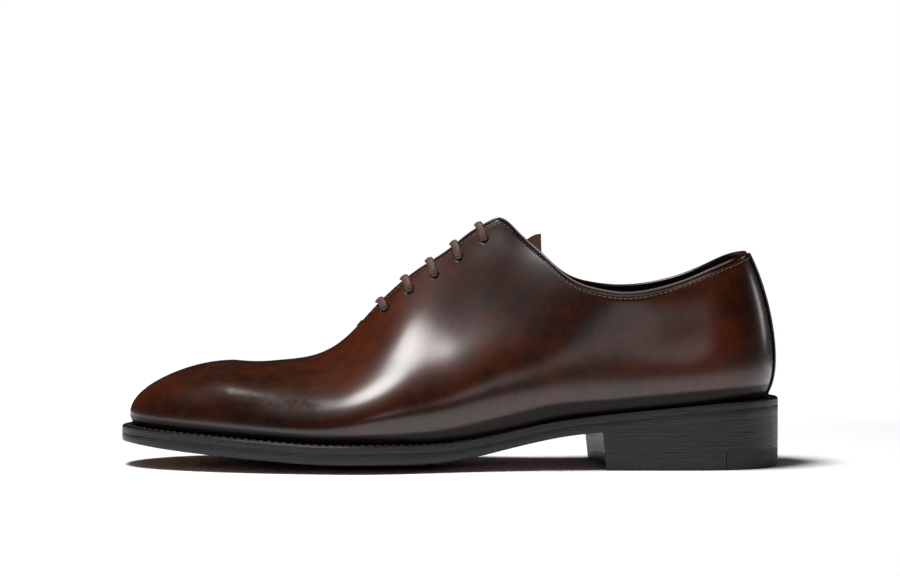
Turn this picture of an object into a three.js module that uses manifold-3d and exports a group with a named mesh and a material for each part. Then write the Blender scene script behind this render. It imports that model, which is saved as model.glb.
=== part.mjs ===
// Whole cut oxford, left shoe, standing empty on its sole.
// Millimetres, +Z up, toe towards -X, outer (lateral) side towards -Y, floor at z = 0.

import * as THREE from 'three';
import { mergeVertices } from 'three/addons/utils/BufferGeometryUtils.js';
import Module from 'manifold-3d';

const wasm = await Module();
wasm.setup();

// Driving sizes

const soleLength = 308;
const ballWidth = 95;
const heelHeight = 24.2;
const toeSpring = 11.5;
const crownHeight = 4.4;
const weltMargin = 5.6;
const soleThickness = 5;
const weltThickness = 3.1;
const weltWidth = 14;
const instepRise = 99.2;
const collarRise = 69;
const wall = 2;
const slitWidth = 1.2;
const fit = 0.3;
const breastPlace = 84;
const breastSkew = 5.5;
const breastHollow = 4;
const breastLean = 1.8;
const heelTaper = 0.8;
const liftThickness = 8.4;
const rubberLength = 27;
const insoleThickness = 2.6;
const tongueThickness = 2;
const tongueHalfWidth = 21;
const tongueReach = 19.5;
const tongueTuck = 10;
const backstayWidth = 12;
const backstayThickness = 1.2;
const laceWidth = 3.2;
const laceThickness = 1.8;
const laceRoom = 3;
const laceLean = 2.6;
const tongueLift = 1.8;
const holeDiameter = 4.4;
const lowHoleInset = 7.4;
const topHoleInset = 5;
const firstHoleGap = 12;
const holePitch = 11.6;
const holeCount = 5;

// Tables

// Foot line of the last. along is a share of the last's length from heel to toe, the widths
// are shares of ballWidth from the heel-to-toe axis, and margin is a share of weltMargin.
const footLine = table(['along', 'lateral', 'medial', 'axis', 'margin'], [
  [0.000, 0.000, 0.000, 0.000, 1.11],
  [0.020, 0.193, 0.189, 0.000, 0.95],
  [0.060, 0.296, 0.285, 0.000, 0.72],
  [0.100, 0.329, 0.312, 0.000, 0.56],
  [0.150, 0.339, 0.314, 0.000, 0.50],
  [0.262, 0.337, 0.281, -0.013, 0.50],
  [0.338, 0.347, 0.240, -0.021, 0.52],
  [0.398, 0.363, 0.222, -0.021, 0.55],
  [0.452, 0.389, 0.250, -0.018, 0.62],
  [0.548, 0.460, 0.350, -0.005, 0.82],
  [0.637, 0.508, 0.433, 0.024, 0.96],
  [0.688, 0.499, 0.466, 0.038, 0.98],
  [0.729, 0.481, 0.476, 0.046, 0.98],
  [0.790, 0.446, 0.451, 0.047, 0.97],
  [0.843, 0.404, 0.411, 0.042, 0.97],
  [0.891, 0.350, 0.362, 0.036, 0.98],
  [0.930, 0.292, 0.308, 0.030, 1.00],
  [0.962, 0.225, 0.240, 0.020, 1.00],
  [0.985, 0.150, 0.158, 0.010, 1.00],
  [1.000, 0.000, 0.000, 0.000, 1.00],
]);

// Underside of the outsole. seat is a share of heelHeight, spring of toeSpring, crown of
// crownHeight, and thick of soleThickness.
const underside = table(['along', 'seat', 'spring', 'crown', 'thick'], [
  [0.000, 0.985, 0.000, 0.00, 0.92],
  [0.067, 0.950, 0.000, 0.00, 0.92],
  [0.124, 0.893, 0.000, 0.00, 0.91],
  [0.188, 0.818, 0.000, 0.00, 0.90],
  [0.259, 0.731, 0.000, 0.02, 0.87],
  [0.330, 0.591, 0.000, 0.22, 0.84],
  [0.377, 0.440, 0.000, 0.41, 0.84],
  [0.425, 0.277, 0.000, 0.59, 0.86],
  [0.472, 0.132, 0.000, 0.76, 0.92],
  [0.506, 0.050, 0.000, 0.88, 0.97],
  [0.545, 0.004, 0.000, 0.97, 1.00],
  [0.582, 0.000, 0.000, 1.00, 1.00],
  [0.637, 0.000, 0.000, 1.00, 1.00],
  [0.681, 0.000, 0.000, 1.00, 1.00],
  [0.729, 0.000, 0.055, 0.98, 1.00],
  [0.773, 0.000, 0.148, 0.94, 1.00],
  [0.820, 0.000, 0.262, 0.86, 1.00],
  [0.867, 0.000, 0.405, 0.72, 0.99],
  [0.918, 0.000, 0.590, 0.50, 0.95],
  [1.000, 0.000, 0.965, 0.05, 0.80],
]);

// Cross sections of the upper. rise is the top of the section above the welt, a share of
// instepRise. The other columns are half widths, shares of the half width at the foot line,
// at the levels below; peak is a share of the half width at the high level.
const levels = [0, 0.07, 0.2, 0.5, 0.8, 0.93, 1];

// How much of the swell of the low level is reached at the first level, where the upper tucks
// under to the welt.
const tuckShare = 0.66;

const sections = table(
  ['along', 'rise', 'lowLateral', 'midLateral', 'highLateral', 'lowMedial', 'midMedial', 'highMedial', 'peak'], [
    [0.131, 0.772, 1.11, 0.97, 0.72, 1.11, 0.99, 0.75, 0.59],
    [0.150, 0.772, 1.112, 0.974, 0.725, 1.112, 0.996, 0.757, 0.59],
    [0.232, 0.803, 1.13, 1.02, 0.79, 1.14, 1.07, 0.85, 0.59],
    [0.334, 0.895, 1.15, 0.96, 0.58, 1.20, 1.15, 0.72, 0.50],
    [0.391, 0.965, 1.13, 0.83, 0.41, 1.24, 1.06, 0.52, 0.42],
    [0.421, 1.000, 1.12, 0.76, 0.34, 1.24, 0.98, 0.43, 0.40],
    [0.436, 0.990, 1.12, 0.748, 0.325, 1.22, 0.95, 0.41, 0.40],
    [0.468, 0.950, 1.10, 0.726, 0.30, 1.17, 0.89, 0.385, 0.42],
    [0.499, 0.887, 1.085, 0.710, 0.283, 1.13, 0.84, 0.36, 0.44],
    [0.547, 0.799, 1.07, 0.714, 0.273, 1.09, 0.81, 0.335, 0.46],
    [0.595, 0.682, 1.06, 0.745, 0.285, 1.08, 0.82, 0.33, 0.47],
    [0.627, 0.584, 1.055, 0.785, 0.32, 1.07, 0.85, 0.38, 0.49],
    [0.657, 0.487, 1.055, 0.84, 0.40, 1.06, 0.88, 0.46, 0.52],
    [0.690, 0.412, 1.05, 0.885, 0.50, 1.06, 0.92, 0.55, 0.55],
    [0.722, 0.372, 1.05, 0.915, 0.575, 1.05, 0.935, 0.60, 0.57],
    [0.769, 0.344, 1.045, 0.935, 0.64, 1.05, 0.945, 0.66, 0.58],
    [0.800, 0.331, 1.04, 0.955, 0.685, 1.04, 0.96, 0.69, 0.585],
    [0.843, 0.329, 1.04, 0.965, 0.705, 1.04, 0.965, 0.705, 0.59],
  ]);
const toeSection = { low: 1.04, mid: 0.932, high: 0.612, peak: 0.59 };
const backSection = { rise: 0.928, low: 1.1, mid: 0.99, high: 0.68, peak: 0.59 };

// Edge of the collar above the welt, shares of collarRise, and of instepRise at the facings.
const collar = table(['along', 'lateral', 'medial', 'instep'], [
  [0.000, 1.000, 1.000, 0.000],
  [0.030, 0.990, 0.995, 0.000],
  [0.055, 0.955, 0.970, 0.000],
  [0.087, 0.910, 0.915, 0.000],
  [0.131, 0.849, 0.854, 0.000],
  [0.178, 0.809, 0.822, 0.000],
  [0.226, 0.803, 0.824, 0.000],
  [0.273, 0.852, 0.868, 0.000],
  [0.296, 0.893, 0.905, 0.000],
  [0.326, 0.780, 0.786, 0.148],
  [0.357, 0.550, 0.552, 0.415],
  [0.391, 0.240, 0.240, 0.743],
  [0.411, 0.080, 0.080, 0.925],
  [0.430, 0.000, 0.000, 1.010],
]);

const heelPole = 0.131;
const collarFront = 0.421;
const throat = 0.6425;
const toePole = 0.843;

const LATERAL = -1;
const MEDIAL = 1;

// Interpolation

function table(columns, rows) {
  const result = {};
  columns.forEach((name, column) => {
    result[name] = rows.map((row) => row[column]);
  });
  return result;
}

// Natural cubic spline through the knots, straight beyond them.
function spline(xs, ys) {
  const last = xs.length - 1;
  const bend = new Array(last + 1).fill(0);
  const pivot = new Array(last + 1).fill(0);
  for (let i = 1; i < last; i += 1) {
    const before = xs[i] - xs[i - 1];
    const after = xs[i + 1] - xs[i];
    const turn = (ys[i + 1] - ys[i]) / after - (ys[i] - ys[i - 1]) / before;
    const weight = 2 * (before + after) - before * pivot[i - 1];
    pivot[i] = after / weight;
    bend[i] = (6 * turn - before * bend[i - 1]) / weight;
  }
  for (let i = last - 1; i > 0; i -= 1) {
    bend[i] -= pivot[i] * bend[i + 1];
  }
  return (x) => {
    const at = Math.min(Math.max(x, xs[0]), xs[last]);
    let i = 0;
    while (i < last - 1 && at > xs[i + 1]) i += 1;
    const step = xs[i + 1] - xs[i];
    const b = (at - xs[i]) / step;
    const a = 1 - b;
    const cubic = (a * a * a - a) * bend[i] + (b * b * b - b) * bend[i + 1];
    return a * ys[i] + b * ys[i + 1] + (cubic * step * step) / 6;
  };
}

// Curves through a table's columns, by column name.
function curvesOf(data, change = (value) => value) {
  const curves = {};
  for (const name of Object.keys(data)) {
    if (name !== 'along') curves[name] = spline(data.along, data[name].map(change));
  }
  return curves;
}

function mix(a, b, share) {
  return a + (b - a) * share;
}

function bisect(low, high, isBelow) {
  let from = low;
  let to = high;
  for (let i = 0; i < 40; i += 1) {
    const middle = (from + to) / 2;
    if (isBelow(middle)) from = middle;
    else to = middle;
  }
  return (from + to) / 2;
}

const foot = curvesOf(footLine);
const footSquared = curvesOf(footLine, (value) => value * value);
const under = curvesOf(underside);
const section = curvesOf(sections);
const collarCurve = curvesOf(collar);

// Step in along, or in level, over which the slope of a surface is taken.
const slopeStep = 0.01;

// The last

const heelMargin = weltMargin * foot.margin(0);
const lastLength = soleLength - heelMargin - weltMargin * foot.margin(1);

function xAt(along) {
  return soleLength / 2 - heelMargin - along * lastLength;
}

function alongAt(x) {
  return (soleLength / 2 - heelMargin - x) / lastLength;
}

function halfWidth(along, side) {
  const squared = side === LATERAL ? footSquared.lateral(along) : footSquared.medial(along);
  return along < 0 || along > 1 ? 0 : ballWidth * Math.sqrt(Math.max(0, squared));
}

function axisY(along) {
  return ballWidth * foot.axis(along);
}

// Height of the outsole's underside at its middle, and how far its edge lies above that.
function middleHeight(along) {
  return Math.max(0, heelHeight * under.seat(along) + toeSpring * under.spring(along));
}

function crownAt(along) {
  return Math.max(0, crownHeight * under.crown(along));
}

const flatShare = 0.15;

function crownRamp(share) {
  return Math.max(0, (share - flatShare) / (1 - flatShare)) ** 1.5;
}

function undersideHeight(along, share) {
  return middleHeight(along) + crownAt(along) * crownRamp(share);
}

function soleTop(along, share) {
  return undersideHeight(along, share) + soleThickness * under.thick(along);
}

function weltTop(along) {
  return soleTop(along, 1) + fit + weltThickness;
}

// A station is an upright half section: it runs from a point on an axis out to the foot line.
function makeStation(axis, direction, reach, topHeight, shape) {
  const footX = axis.x + direction.x * reach;
  const footHeight = weltTop(alongAt(footX)) + fit;
  const widths = [shape.low, shape.mid, shape.high, shape.high * shape.peak, 0];
  const squares = [1, mix(1, shape.low ** 2, tuckShare), ...widths.map((width) => width ** 2)];
  return {
    axis,
    direction,
    reach,
    footHeight,
    rise: topHeight(footHeight) - footHeight,
    profile: spline(levels, squares),
  };
}

function sideShape(along, side) {
  const end = side === LATERAL ? 'Lateral' : 'Medial';
  return {
    low: section[`low${end}`](along),
    mid: section[`mid${end}`](along),
    high: section[`high${end}`](along),
    peak: section.peak(along),
  };
}

function blendShape(a, b, share) {
  return {
    low: mix(a.low, b.low, share),
    mid: mix(a.mid, b.mid, share),
    high: mix(a.high, b.high, share),
    peak: mix(a.peak, b.peak, share),
  };
}

function ridgeHeight(along) {
  return weltTop(along) + fit + instepRise * section.rise(along);
}

function sideStation(along, side) {
  const axis = { x: xAt(along), y: axisY(along) };
  const reach = halfWidth(along, side) - side * axis.y;
  return makeStation(axis, { x: 0, y: side }, reach, () => ridgeHeight(along), sideShape(along, side));
}

function reachToFootLine(axis, direction) {
  return bisect(0, soleLength, (reach) => {
    const along = alongAt(axis.x + direction.x * reach);
    const y = axis.y + direction.y * reach;
    return Math.abs(y) < halfWidth(along, y < 0 ? LATERAL : MEDIAL);
  });
}

// Stations that turn round the heel. The angle is 0 at the back and a quarter turn at a side.
function heelStation(angle) {
  const side = angle > 0 ? LATERAL : MEDIAL;
  const axis = { x: xAt(heelPole), y: axisY(heelPole) };
  const direction = { x: Math.cos(angle), y: -Math.sin(angle) };
  const back = Math.cos(angle) ** 2;
  const shape = blendShape(sideShape(heelPole, side), backSection, back);
  const rise = instepRise * mix(section.rise(heelPole), backSection.rise, back);
  return makeStation(axis, direction, reachToFootLine(axis, direction), (height) => height + rise, shape);
}

// Stations that turn round the toe. The angle is 0 at the lateral side and pi at the medial side.
function toeStation(angle) {
  const side = angle < Math.PI / 2 ? LATERAL : MEDIAL;
  const axis = { x: xAt(toePole), y: axisY(toePole) };
  const direction = { x: -Math.sin(angle), y: -Math.cos(angle) };
  const shape = blendShape(sideShape(toePole, side), toeSection, Math.sin(angle) ** 2);
  return makeStation(axis, direction, reachToFootLine(axis, direction), () => ridgeHeight(toePole), shape);
}

function radiusAt(station, level) {
  return station.reach * Math.sqrt(Math.max(0, station.profile(level)));
}

function pointAt(station, level) {
  const radius = radiusAt(station, level);
  return new THREE.Vector3(
    station.axis.x + station.direction.x * radius,
    station.axis.y + station.direction.y * radius,
    station.footHeight + station.rise * level,
  );
}

function collarHeight(along, y) {
  const rise = y < 0 ? collarCurve.lateral(along) : collarCurve.medial(along);
  return weltTop(along) + fit + collarRise * rise + instepRise * collarCurve.instep(along);
}

const firstOpenLevel = 0.3;

function collarLevel(station) {
  return bisect(firstOpenLevel, 1, (level) => {
    const point = pointAt(station, level);
    return point.z < collarHeight(alongAt(point.x), point.y);
  });
}

function slitLevel(station) {
  return bisect(firstOpenLevel, 1, (level) => radiusAt(station, level) > slitWidth / 2);
}

// Levels of one station at equal steps along its curve, from the foot line to the end level.
function evenLevels(station, endLevel, count) {
  const samples = 64;
  const turn = Math.asin(endLevel);
  const found = [0];
  const lengths = [0];
  let before = pointAt(station, 0);
  for (let i = 1; i <= samples; i += 1) {
    const level = i === samples ? endLevel : Math.sin((turn * i) / samples);
    const point = pointAt(station, level);
    lengths.push(lengths[i - 1] + point.distanceTo(before));
    found.push(level);
    before = point;
  }
  const result = [];
  let i = 0;
  for (let row = 0; row < count; row += 1) {
    const goal = (lengths[samples] * row) / count;
    while (lengths[i + 1] < goal) i += 1;
    const share = (goal - lengths[i]) / (lengths[i + 1] - lengths[i]);
    result.push(mix(found[i], found[i + 1], share));
  }
  result.push(endLevel);
  return result;
}

// The ring of stations: from the back of the heel along the lateral side, round the toe, and
// back along the medial side.
function makeRing() {
  const heelSteps = 8;
  const toeSteps = 16;
  const sideAlongs = [];
  const collarSteps = 12;
  for (let i = collarSteps; i >= 0; i -= 1) {
    sideAlongs.push(mix(collarFront, heelPole, (i / collarSteps) ** 1.5));
  }
  const facingSteps = 7;
  const throatEnd = throat - slitWidth / lastLength;
  for (let i = 1; i <= facingSteps; i += 1) {
    sideAlongs.push(mix(collarFront, throatEnd, i / facingSteps));
  }
  sideAlongs.push(throat);
  const vampSteps = 7;
  for (let i = 1; i <= vampSteps; i += 1) sideAlongs.push(mix(throat, toePole, i / vampSteps));

  const ring = [];
  for (let i = 0; i < heelSteps; i += 1) {
    ring.push({ station: heelStation((Math.PI / 2) * (i / heelSteps)), top: 'collar' });
  }
  const topOf = (along) => {
    if (along < collarFront) return 'collar';
    return along < throat ? 'slit' : 'ridge';
  };
  for (const along of sideAlongs) ring.push({ station: sideStation(along, LATERAL), top: topOf(along) });
  for (let i = 1; i < toeSteps; i += 1) {
    ring.push({ station: toeStation(Math.PI * (i / toeSteps)), top: 'ridge' });
  }
  for (const along of sideAlongs.reverse()) {
    ring.push({ station: sideStation(along, MEDIAL), top: topOf(along) });
  }
  for (let i = heelSteps - 1; i > 0; i -= 1) {
    ring.push({ station: heelStation((-Math.PI / 2) * (i / heelSteps)), top: 'collar' });
  }
  return ring;
}

// Solids from rows of points

// Adds the triangles between two rows of points of the same length.
function addStrip(corners, rowA, rowB) {
  for (let i = 0; i + 1 < rowA.length; i += 1) {
    corners.push(rowA[i], rowA[i + 1], rowB[i + 1]);
    corners.push(rowA[i], rowB[i + 1], rowB[i]);
  }
}

function addRows(corners, rows) {
  for (let i = 0; i + 1 < rows.length; i += 1) addStrip(corners, rows[i], rows[i + 1]);
}

function closed(row) {
  return [...row, row[0]];
}

// The points round the rim of a sheet of rows.
function rimOf(sheet) {
  const end = sheet.length - 1;
  return [
    ...sheet[0],
    ...sheet.slice(1, end).map((row) => row[row.length - 1]),
    ...[...sheet[end]].reverse(),
    ...sheet.slice(1, end).reverse().map((row) => row[0]),
  ];
}

// One closed body from loose triangles: shared corners are merged, flat triangles dropped, and
// the faces turned outwards.
function solidFrom(corners) {
  const loose = new THREE.BufferGeometry().setFromPoints(corners);
  const merged = mergeVertices(loose, 1e-3);
  const position = merged.getAttribute('position');
  const index = merged.getIndex().array;
  const kept = [];
  let volume = 0;
  const a = new THREE.Vector3();
  const b = new THREE.Vector3();
  const c = new THREE.Vector3();
  for (let i = 0; i < index.length; i += 3) {
    const [p, q, r] = [index[i], index[i + 1], index[i + 2]];
    if (p === q || q === r || r === p) continue;
    kept.push(p, q, r);
    a.fromBufferAttribute(position, p);
    b.fromBufferAttribute(position, q);
    c.fromBufferAttribute(position, r);
    volume += a.dot(b.cross(c));
  }
  if (volume < 0) {
    for (let i = 0; i < kept.length; i += 3) [kept[i], kept[i + 1]] = [kept[i + 1], kept[i]];
  }
  merged.setIndex(kept);
  return merged;
}

function toManifold(geometry) {
  return new wasm.Manifold(new wasm.Mesh({
    numProp: 3,
    vertProperties: new Float32Array(geometry.getAttribute('position').array),
    triVerts: new Uint32Array(geometry.getIndex().array),
  }));
}

function fromManifold(body) {
  const mesh = body.getMesh();
  const geometry = new THREE.BufferGeometry();
  geometry.setAttribute('position', new THREE.BufferAttribute(new Float32Array(mesh.vertProperties), 3));
  geometry.setIndex(new THREE.BufferAttribute(new Uint32Array(mesh.triVerts), 1));
  return geometry;
}

// Upper

const ring = makeRing();
const upperRows = 11;

function pointKey(point) {
  return [point.x, point.y, point.z].map((value) => Math.round(value * 500)).join(' ');
}

// Outward direction at each point of the outer skin, the same for points that coincide.
function skinNormals(columns) {
  const sums = new Map();
  const corners = [];
  addRows(corners, closed(columns));
  const edge = new THREE.Vector3();
  for (let i = 0; i < corners.length; i += 3) {
    const face = new THREE.Vector3().subVectors(corners[i + 1], corners[i]);
    face.cross(edge.subVectors(corners[i + 2], corners[i]));
    for (let k = 0; k < 3; k += 1) {
      const key = pointKey(corners[i + k]);
      if (!sums.has(key)) sums.set(key, new THREE.Vector3());
      sums.get(key).add(face);
    }
  }
  const outward = (point) => sums.get(pointKey(point)).clone().normalize();
  const probe = columns[0][2];
  const sign = outward(probe).x * (probe.x - xAt(heelPole)) > 0 ? 1 : -1;
  return (point) => outward(point).multiplyScalar(sign);
}

function topLevel({ station, top }) {
  if (top === 'ridge') return 1;
  return top === 'slit' ? slitLevel(station) : Math.min(collarLevel(station), slitLevel(station));
}

// The wall's inner skin stays on its own side of the ridge, and of the slit.
function innerPoint(place, outer, normal, isFoot, isTop) {
  const { station, top } = place;
  const push = normal.clone();
  if (isFoot) push.z = 0;
  if (isTop && top === 'slit') push.y = 0;
  const inner = outer.clone().addScaledVector(push.normalize(), -wall);
  const ahead = station.direction;
  const distance = (inner.x - station.axis.x) * ahead.x + (inner.y - station.axis.y) * ahead.y;
  const least = top === 'ridge' ? 0 : slitWidth / 2;
  if (distance < least && !isTop) {
    inner.x += ahead.x * (least - distance);
    inner.y += ahead.y * (least - distance);
  }
  return inner;
}

function makeUpperSkin() {
  const outer = ring.map((place) => {
    const rows = evenLevels(place.station, topLevel(place), upperRows);
    return rows.map((level) => pointAt(place.station, level));
  });
  const normalAt = skinNormals(outer);
  const inner = outer.map((column, k) => column.map((point, row) => (
    innerPoint(ring[k], point, normalAt(point), row === 0, row === upperRows)
  )));
  return { outer, inner };
}

function makeUpper() {
  const { outer, inner } = makeUpperSkin();
  const corners = [];
  addRows(corners, closed(outer));
  addRows(corners, closed(inner).map((column) => [...column].reverse()));
  addStrip(corners, closed(outer.map((column) => column[0])), closed(inner.map((column) => column[0])));
  const openTop = ring.map(({ top }) => top !== 'ridge');
  const count = ring.length;
  for (let k = 0; k < count; k += 1) {
    const next = (k + 1) % count;
    if (openTop[k] || openTop[next]) {
      const outerEdge = [outer[k][upperRows], outer[next][upperRows]];
      const innerEdge = [inner[k][upperRows], inner[next][upperRows]];
      addStrip(corners, innerEdge, outerEdge);
    }
  }
  return solidFrom(corners);
}

// The top of the upper as a height over the floor plan, by its distance from the axis.
function roofHeight(along, offset) {
  const station = sideStation(along, offset < 0 ? LATERAL : MEDIAL);
  const level = bisect(firstOpenLevel, 1, (value) => radiusAt(station, value) > Math.abs(offset));
  return station.footHeight + station.rise * level;
}

function roofPoint(along, offset) {
  return new THREE.Vector3(xAt(along), axisY(along) + offset, roofHeight(along, offset));
}

function roofNormal(along, offset) {
  const reach = 1;
  const share = reach / lastLength;
  const ahead = roofPoint(along + share, offset).sub(roofPoint(along - share, offset));
  const across = roofPoint(along, offset + reach).sub(roofPoint(along, offset - reach));
  const normal = ahead.cross(across);
  return normal.multiplyScalar(Math.sign(normal.z)).normalize();
}

function holeAlong(index) {
  return throat - (firstHoleGap + holePitch * index) / lastLength;
}

function holeInset(index) {
  return mix(lowHoleInset, topHoleInset, index / (holeCount - 1));
}

// A straight tube with flat ends, for the punched holes.
function makePunch(along, offset) {
  const depth = 4 * wall;
  const punch = new THREE.CylinderGeometry(holeDiameter / 2, holeDiameter / 2, depth, 10);
  punch.deleteAttribute('normal');
  punch.deleteAttribute('uv');
  const turn = new THREE.Quaternion().setFromUnitVectors(new THREE.Vector3(0, 1, 0), roofNormal(along, offset));
  punch.applyQuaternion(turn);
  const centre = roofPoint(along, offset);
  punch.translate(centre.x, centre.y, centre.z);
  return toManifold(mergeVertices(punch, 1e-3));
}

function makePunchedUpper() {
  let upper = toManifold(makeUpper());
  for (let i = 0; i < holeCount; i += 1) {
    for (const side of [LATERAL, MEDIAL]) {
      upper = upper.subtract(makePunch(holeAlong(i), side * holeInset(i)));
    }
  }
  return fromManifold(upper);
}

// Lace: straight bars over the facings, joined by runs behind them

const laceSides = 6;

// A flat tube along a path. Each step holds a point and the way that the lace's width lies.
function makeRibbon(steps) {
  const rings = steps.map(({ point, wide }, i) => {
    const from = steps[Math.max(0, i - 1)].point;
    const to = steps[Math.min(steps.length - 1, i + 1)].point;
    const forward = new THREE.Vector3().subVectors(to, from).normalize();
    const across = wide.clone().addScaledVector(forward, -wide.dot(forward)).normalize();
    const thin = new THREE.Vector3().crossVectors(forward, across);
    const loop = [];
    for (let k = 0; k < laceSides; k += 1) {
      const angle = (2 * Math.PI * k) / laceSides;
      loop.push(point.clone()
        .addScaledVector(across, (laceWidth / 2) * Math.cos(angle))
        .addScaledVector(thin, (laceThickness / 2) * Math.sin(angle)));
    }
    return loop;
  });
  const corners = [];
  addRows(corners, rings.map(closed));
  const ends = [[rings[0], steps[0].point], [rings[rings.length - 1], steps[steps.length - 1].point]];
  ends.forEach(([loop, middle], which) => {
    const centre = loop.map(() => middle);
    if (which === 0) addStrip(corners, closed(centre), closed(loop));
    else addStrip(corners, closed(loop), closed(centre));
  });
  return toManifold(solidFrom(corners));
}

const laceGap = 0.52;
const laceOut = laceThickness / 2 + laceGap;
const laceIn = -(wall + laceThickness / 2 + laceGap);

function lacePoint(along, offset, lift) {
  return roofPoint(along, offset).addScaledVector(roofNormal(along, offset), lift);
}

function makeBar(index) {
  const along = holeAlong(index);
  const inset = holeInset(index);
  const wide = new THREE.Vector3().subVectors(roofPoint(along - slopeStep, 0), roofPoint(along + slopeStep, 0)).normalize();
  const steps = [];
  const spans = [-1, -0.5, -0.15, 0.15, 0.5, 1];
  const add = (offset, lift) => {
    const lean = (laceLean / lastLength) * (1 - Math.abs(offset) / inset);
    steps.push({ point: lacePoint(along + lean, offset, lift), wide });
  };
  add(-inset, laceIn);
  add(-inset, laceIn / 2);
  add(-inset, 0);
  for (const span of spans) add(span * inset, laceOut);
  add(inset, 0);
  add(inset, laceIn / 2);
  add(inset, laceIn);
  return makeRibbon(steps);
}

function makeRun(side, from, to) {
  const steps = [];
  const count = 3 * (to - from);
  for (let i = 0; i <= count; i += 1) {
    const along = mix(holeAlong(from), holeAlong(to), i / count);
    const offset = side * mix(holeInset(from), holeInset(to), i / count);
    const wide = new THREE.Vector3().subVectors(roofPoint(along, offset + 1), roofPoint(along, offset - 1));
    steps.push({ point: lacePoint(along, offset, laceIn), wide: wide.normalize() });
  }
  return makeRibbon(steps);
}

function makeLace() {
  let lace = makeBar(0);
  for (let i = 1; i < holeCount; i += 1) lace = lace.add(makeBar(i));
  const last = holeCount - 1;
  for (let i = 0; i + 2 <= last; i += 2) {
    const side = (i / 2) % 2 === 0 ? LATERAL : MEDIAL;
    lace = lace.add(makeRun(side, i, i + 2));
  }
  lace = lace.add(makeRun(MEDIAL, 0, 1));
  for (let i = 1; i + 2 <= last; i += 2) {
    const side = ((i - 1) / 2) % 2 === 0 ? LATERAL : MEDIAL;
    lace = lace.add(makeRun(side, i, i + 2));
  }
  return fromManifold(lace);
}

// Tongue

// How far the tongue lies behind the outer face: close to the vamp at its foot, and behind
// the lace at the facings. Past the facings it springs up again.
function tongueDepth(along) {
  const share = (throat + 3 / lastLength - along) / ((firstHoleGap - laceWidth) / lastLength);
  const ramp = THREE.MathUtils.smoothstep(share, 0, 1);
  const past = THREE.MathUtils.smoothstep((collarFront - along) * lastLength, 0, tongueReach);
  return wall + mix(2 * fit, laceRoom, ramp) - tongueLift * past;
}

const tongueRound = 4;

function tonguePoint(along, offset, depth) {
  const smooth = Math.sign(offset || 1) * Math.hypot(offset, tongueRound * Math.min(1, depth / wall - 1));
  const normal = roofNormal(along, smooth);
  return new THREE.Vector3(xAt(along), axisY(along) + offset, roofHeight(along, smooth) - depth / normal.z);
}

const tongueTipShare = 0.7;
const tongueTopShare = 0.93;

function makeTongue() {
  const rows = 12;
  const columns = 8;
  const top = collarFront - tongueReach / lastLength;
  const tip = throat + tongueTuck / lastLength;
  const outer = [];
  const inner = [];
  for (let i = 0; i <= rows; i += 1) {
    const along = mix(tip, top, i / rows);
    const width = tongueHalfWidth * (i === 0 ? tongueTipShare : 1) * (i === rows ? tongueTopShare : 1);
    const depth = tongueDepth(along);
    const offsets = [];
    for (let k = 0; k <= columns; k += 1) offsets.push(width * ((2 * k) / columns - 1));
    outer.push(offsets.map((offset) => tonguePoint(along, offset, depth)));
    inner.push(offsets.map((offset) => tonguePoint(along, offset, depth).setZ(
      tonguePoint(along, offset, depth).z - tongueThickness / roofNormal(along, offset).z,
    )));
  }
  const corners = [];
  addRows(corners, outer);
  addRows(corners, inner.map((row) => [...row].reverse()));
  addStrip(corners, closed(rimOf(inner)), closed(rimOf(outer)));
  return solidFrom(corners);
}

// Sole

// Foot line points of the ring, with the outward direction of the line at each.
const line = ring.map(({ station }) => ({
  station,
  x: station.axis.x + station.direction.x * station.reach,
  y: station.axis.y + station.direction.y * station.reach,
}));
line.forEach((place, k) => {
  const before = line[(k + line.length - 1) % line.length];
  const after = line[(k + 1) % line.length];
  const tangent = new THREE.Vector2(after.x - before.x, after.y - before.y).normalize();
  place.normal = new THREE.Vector2(tangent.y, -tangent.x);
  const inward = (place.x - place.station.axis.x) * place.normal.x
    + (place.y - place.station.axis.y) * place.normal.y;
  if (inward < 0) place.normal.negate();
  place.along = alongAt(place.x);
});

function offsetPlace(place, distance) {
  return { x: place.x + place.normal.x * distance, y: place.y + place.normal.y * distance };
}

function edgeOf(place) {
  return offsetPlace(place, weltMargin * foot.margin(place.along));
}

// A share of 1 is the sole's edge and 0 its middle line.
function shareOf(place, point) {
  const edge = edgeOf(place);
  const { axis } = place.station;
  const full = Math.hypot(edge.x - axis.x, edge.y - axis.y);
  return Math.hypot(point.x - axis.x, point.y - axis.y) / full;
}

function towardsAxis(place, point, share) {
  const { axis } = place.station;
  return { x: mix(axis.x, point.x, share), y: mix(axis.y, point.y, share) };
}

// Heights run a little past the foot line, where the sole stands out from it.
function heightAlong(x) {
  return Math.min(Math.max(alongAt(x), 0), 1);
}

function soleLoop(pick, height) {
  return line.map((place) => {
    const point = pick(place);
    return new THREE.Vector3(point.x, point.y, height(heightAlong(point.x), shareOf(place, point)));
  });
}

function makeSheet(pick, shares, bottomHeight, topHeight) {
  const loopsOf = (height) => shares.map((share) => (
    soleLoop((place) => towardsAxis(place, pick(place), share), height)
  ));
  const bottom = loopsOf(bottomHeight);
  const top = loopsOf(topHeight);
  const corners = [];
  addRows(corners, bottom.map(closed));
  addStrip(corners, closed(top[0]), closed(bottom[0]));
  addRows(corners, [...top].reverse().map(closed));
  return solidFrom(corners);
}

const sheetShares = [1, 0.82, 0.5, flatShare, 0];

function makeOutsole() {
  return makeSheet(edgeOf, sheetShares, undersideHeight, soleTop);
}

function weltInside(place) {
  return offsetPlace(place, weltMargin * foot.margin(place.along) - weltWidth);
}

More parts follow.
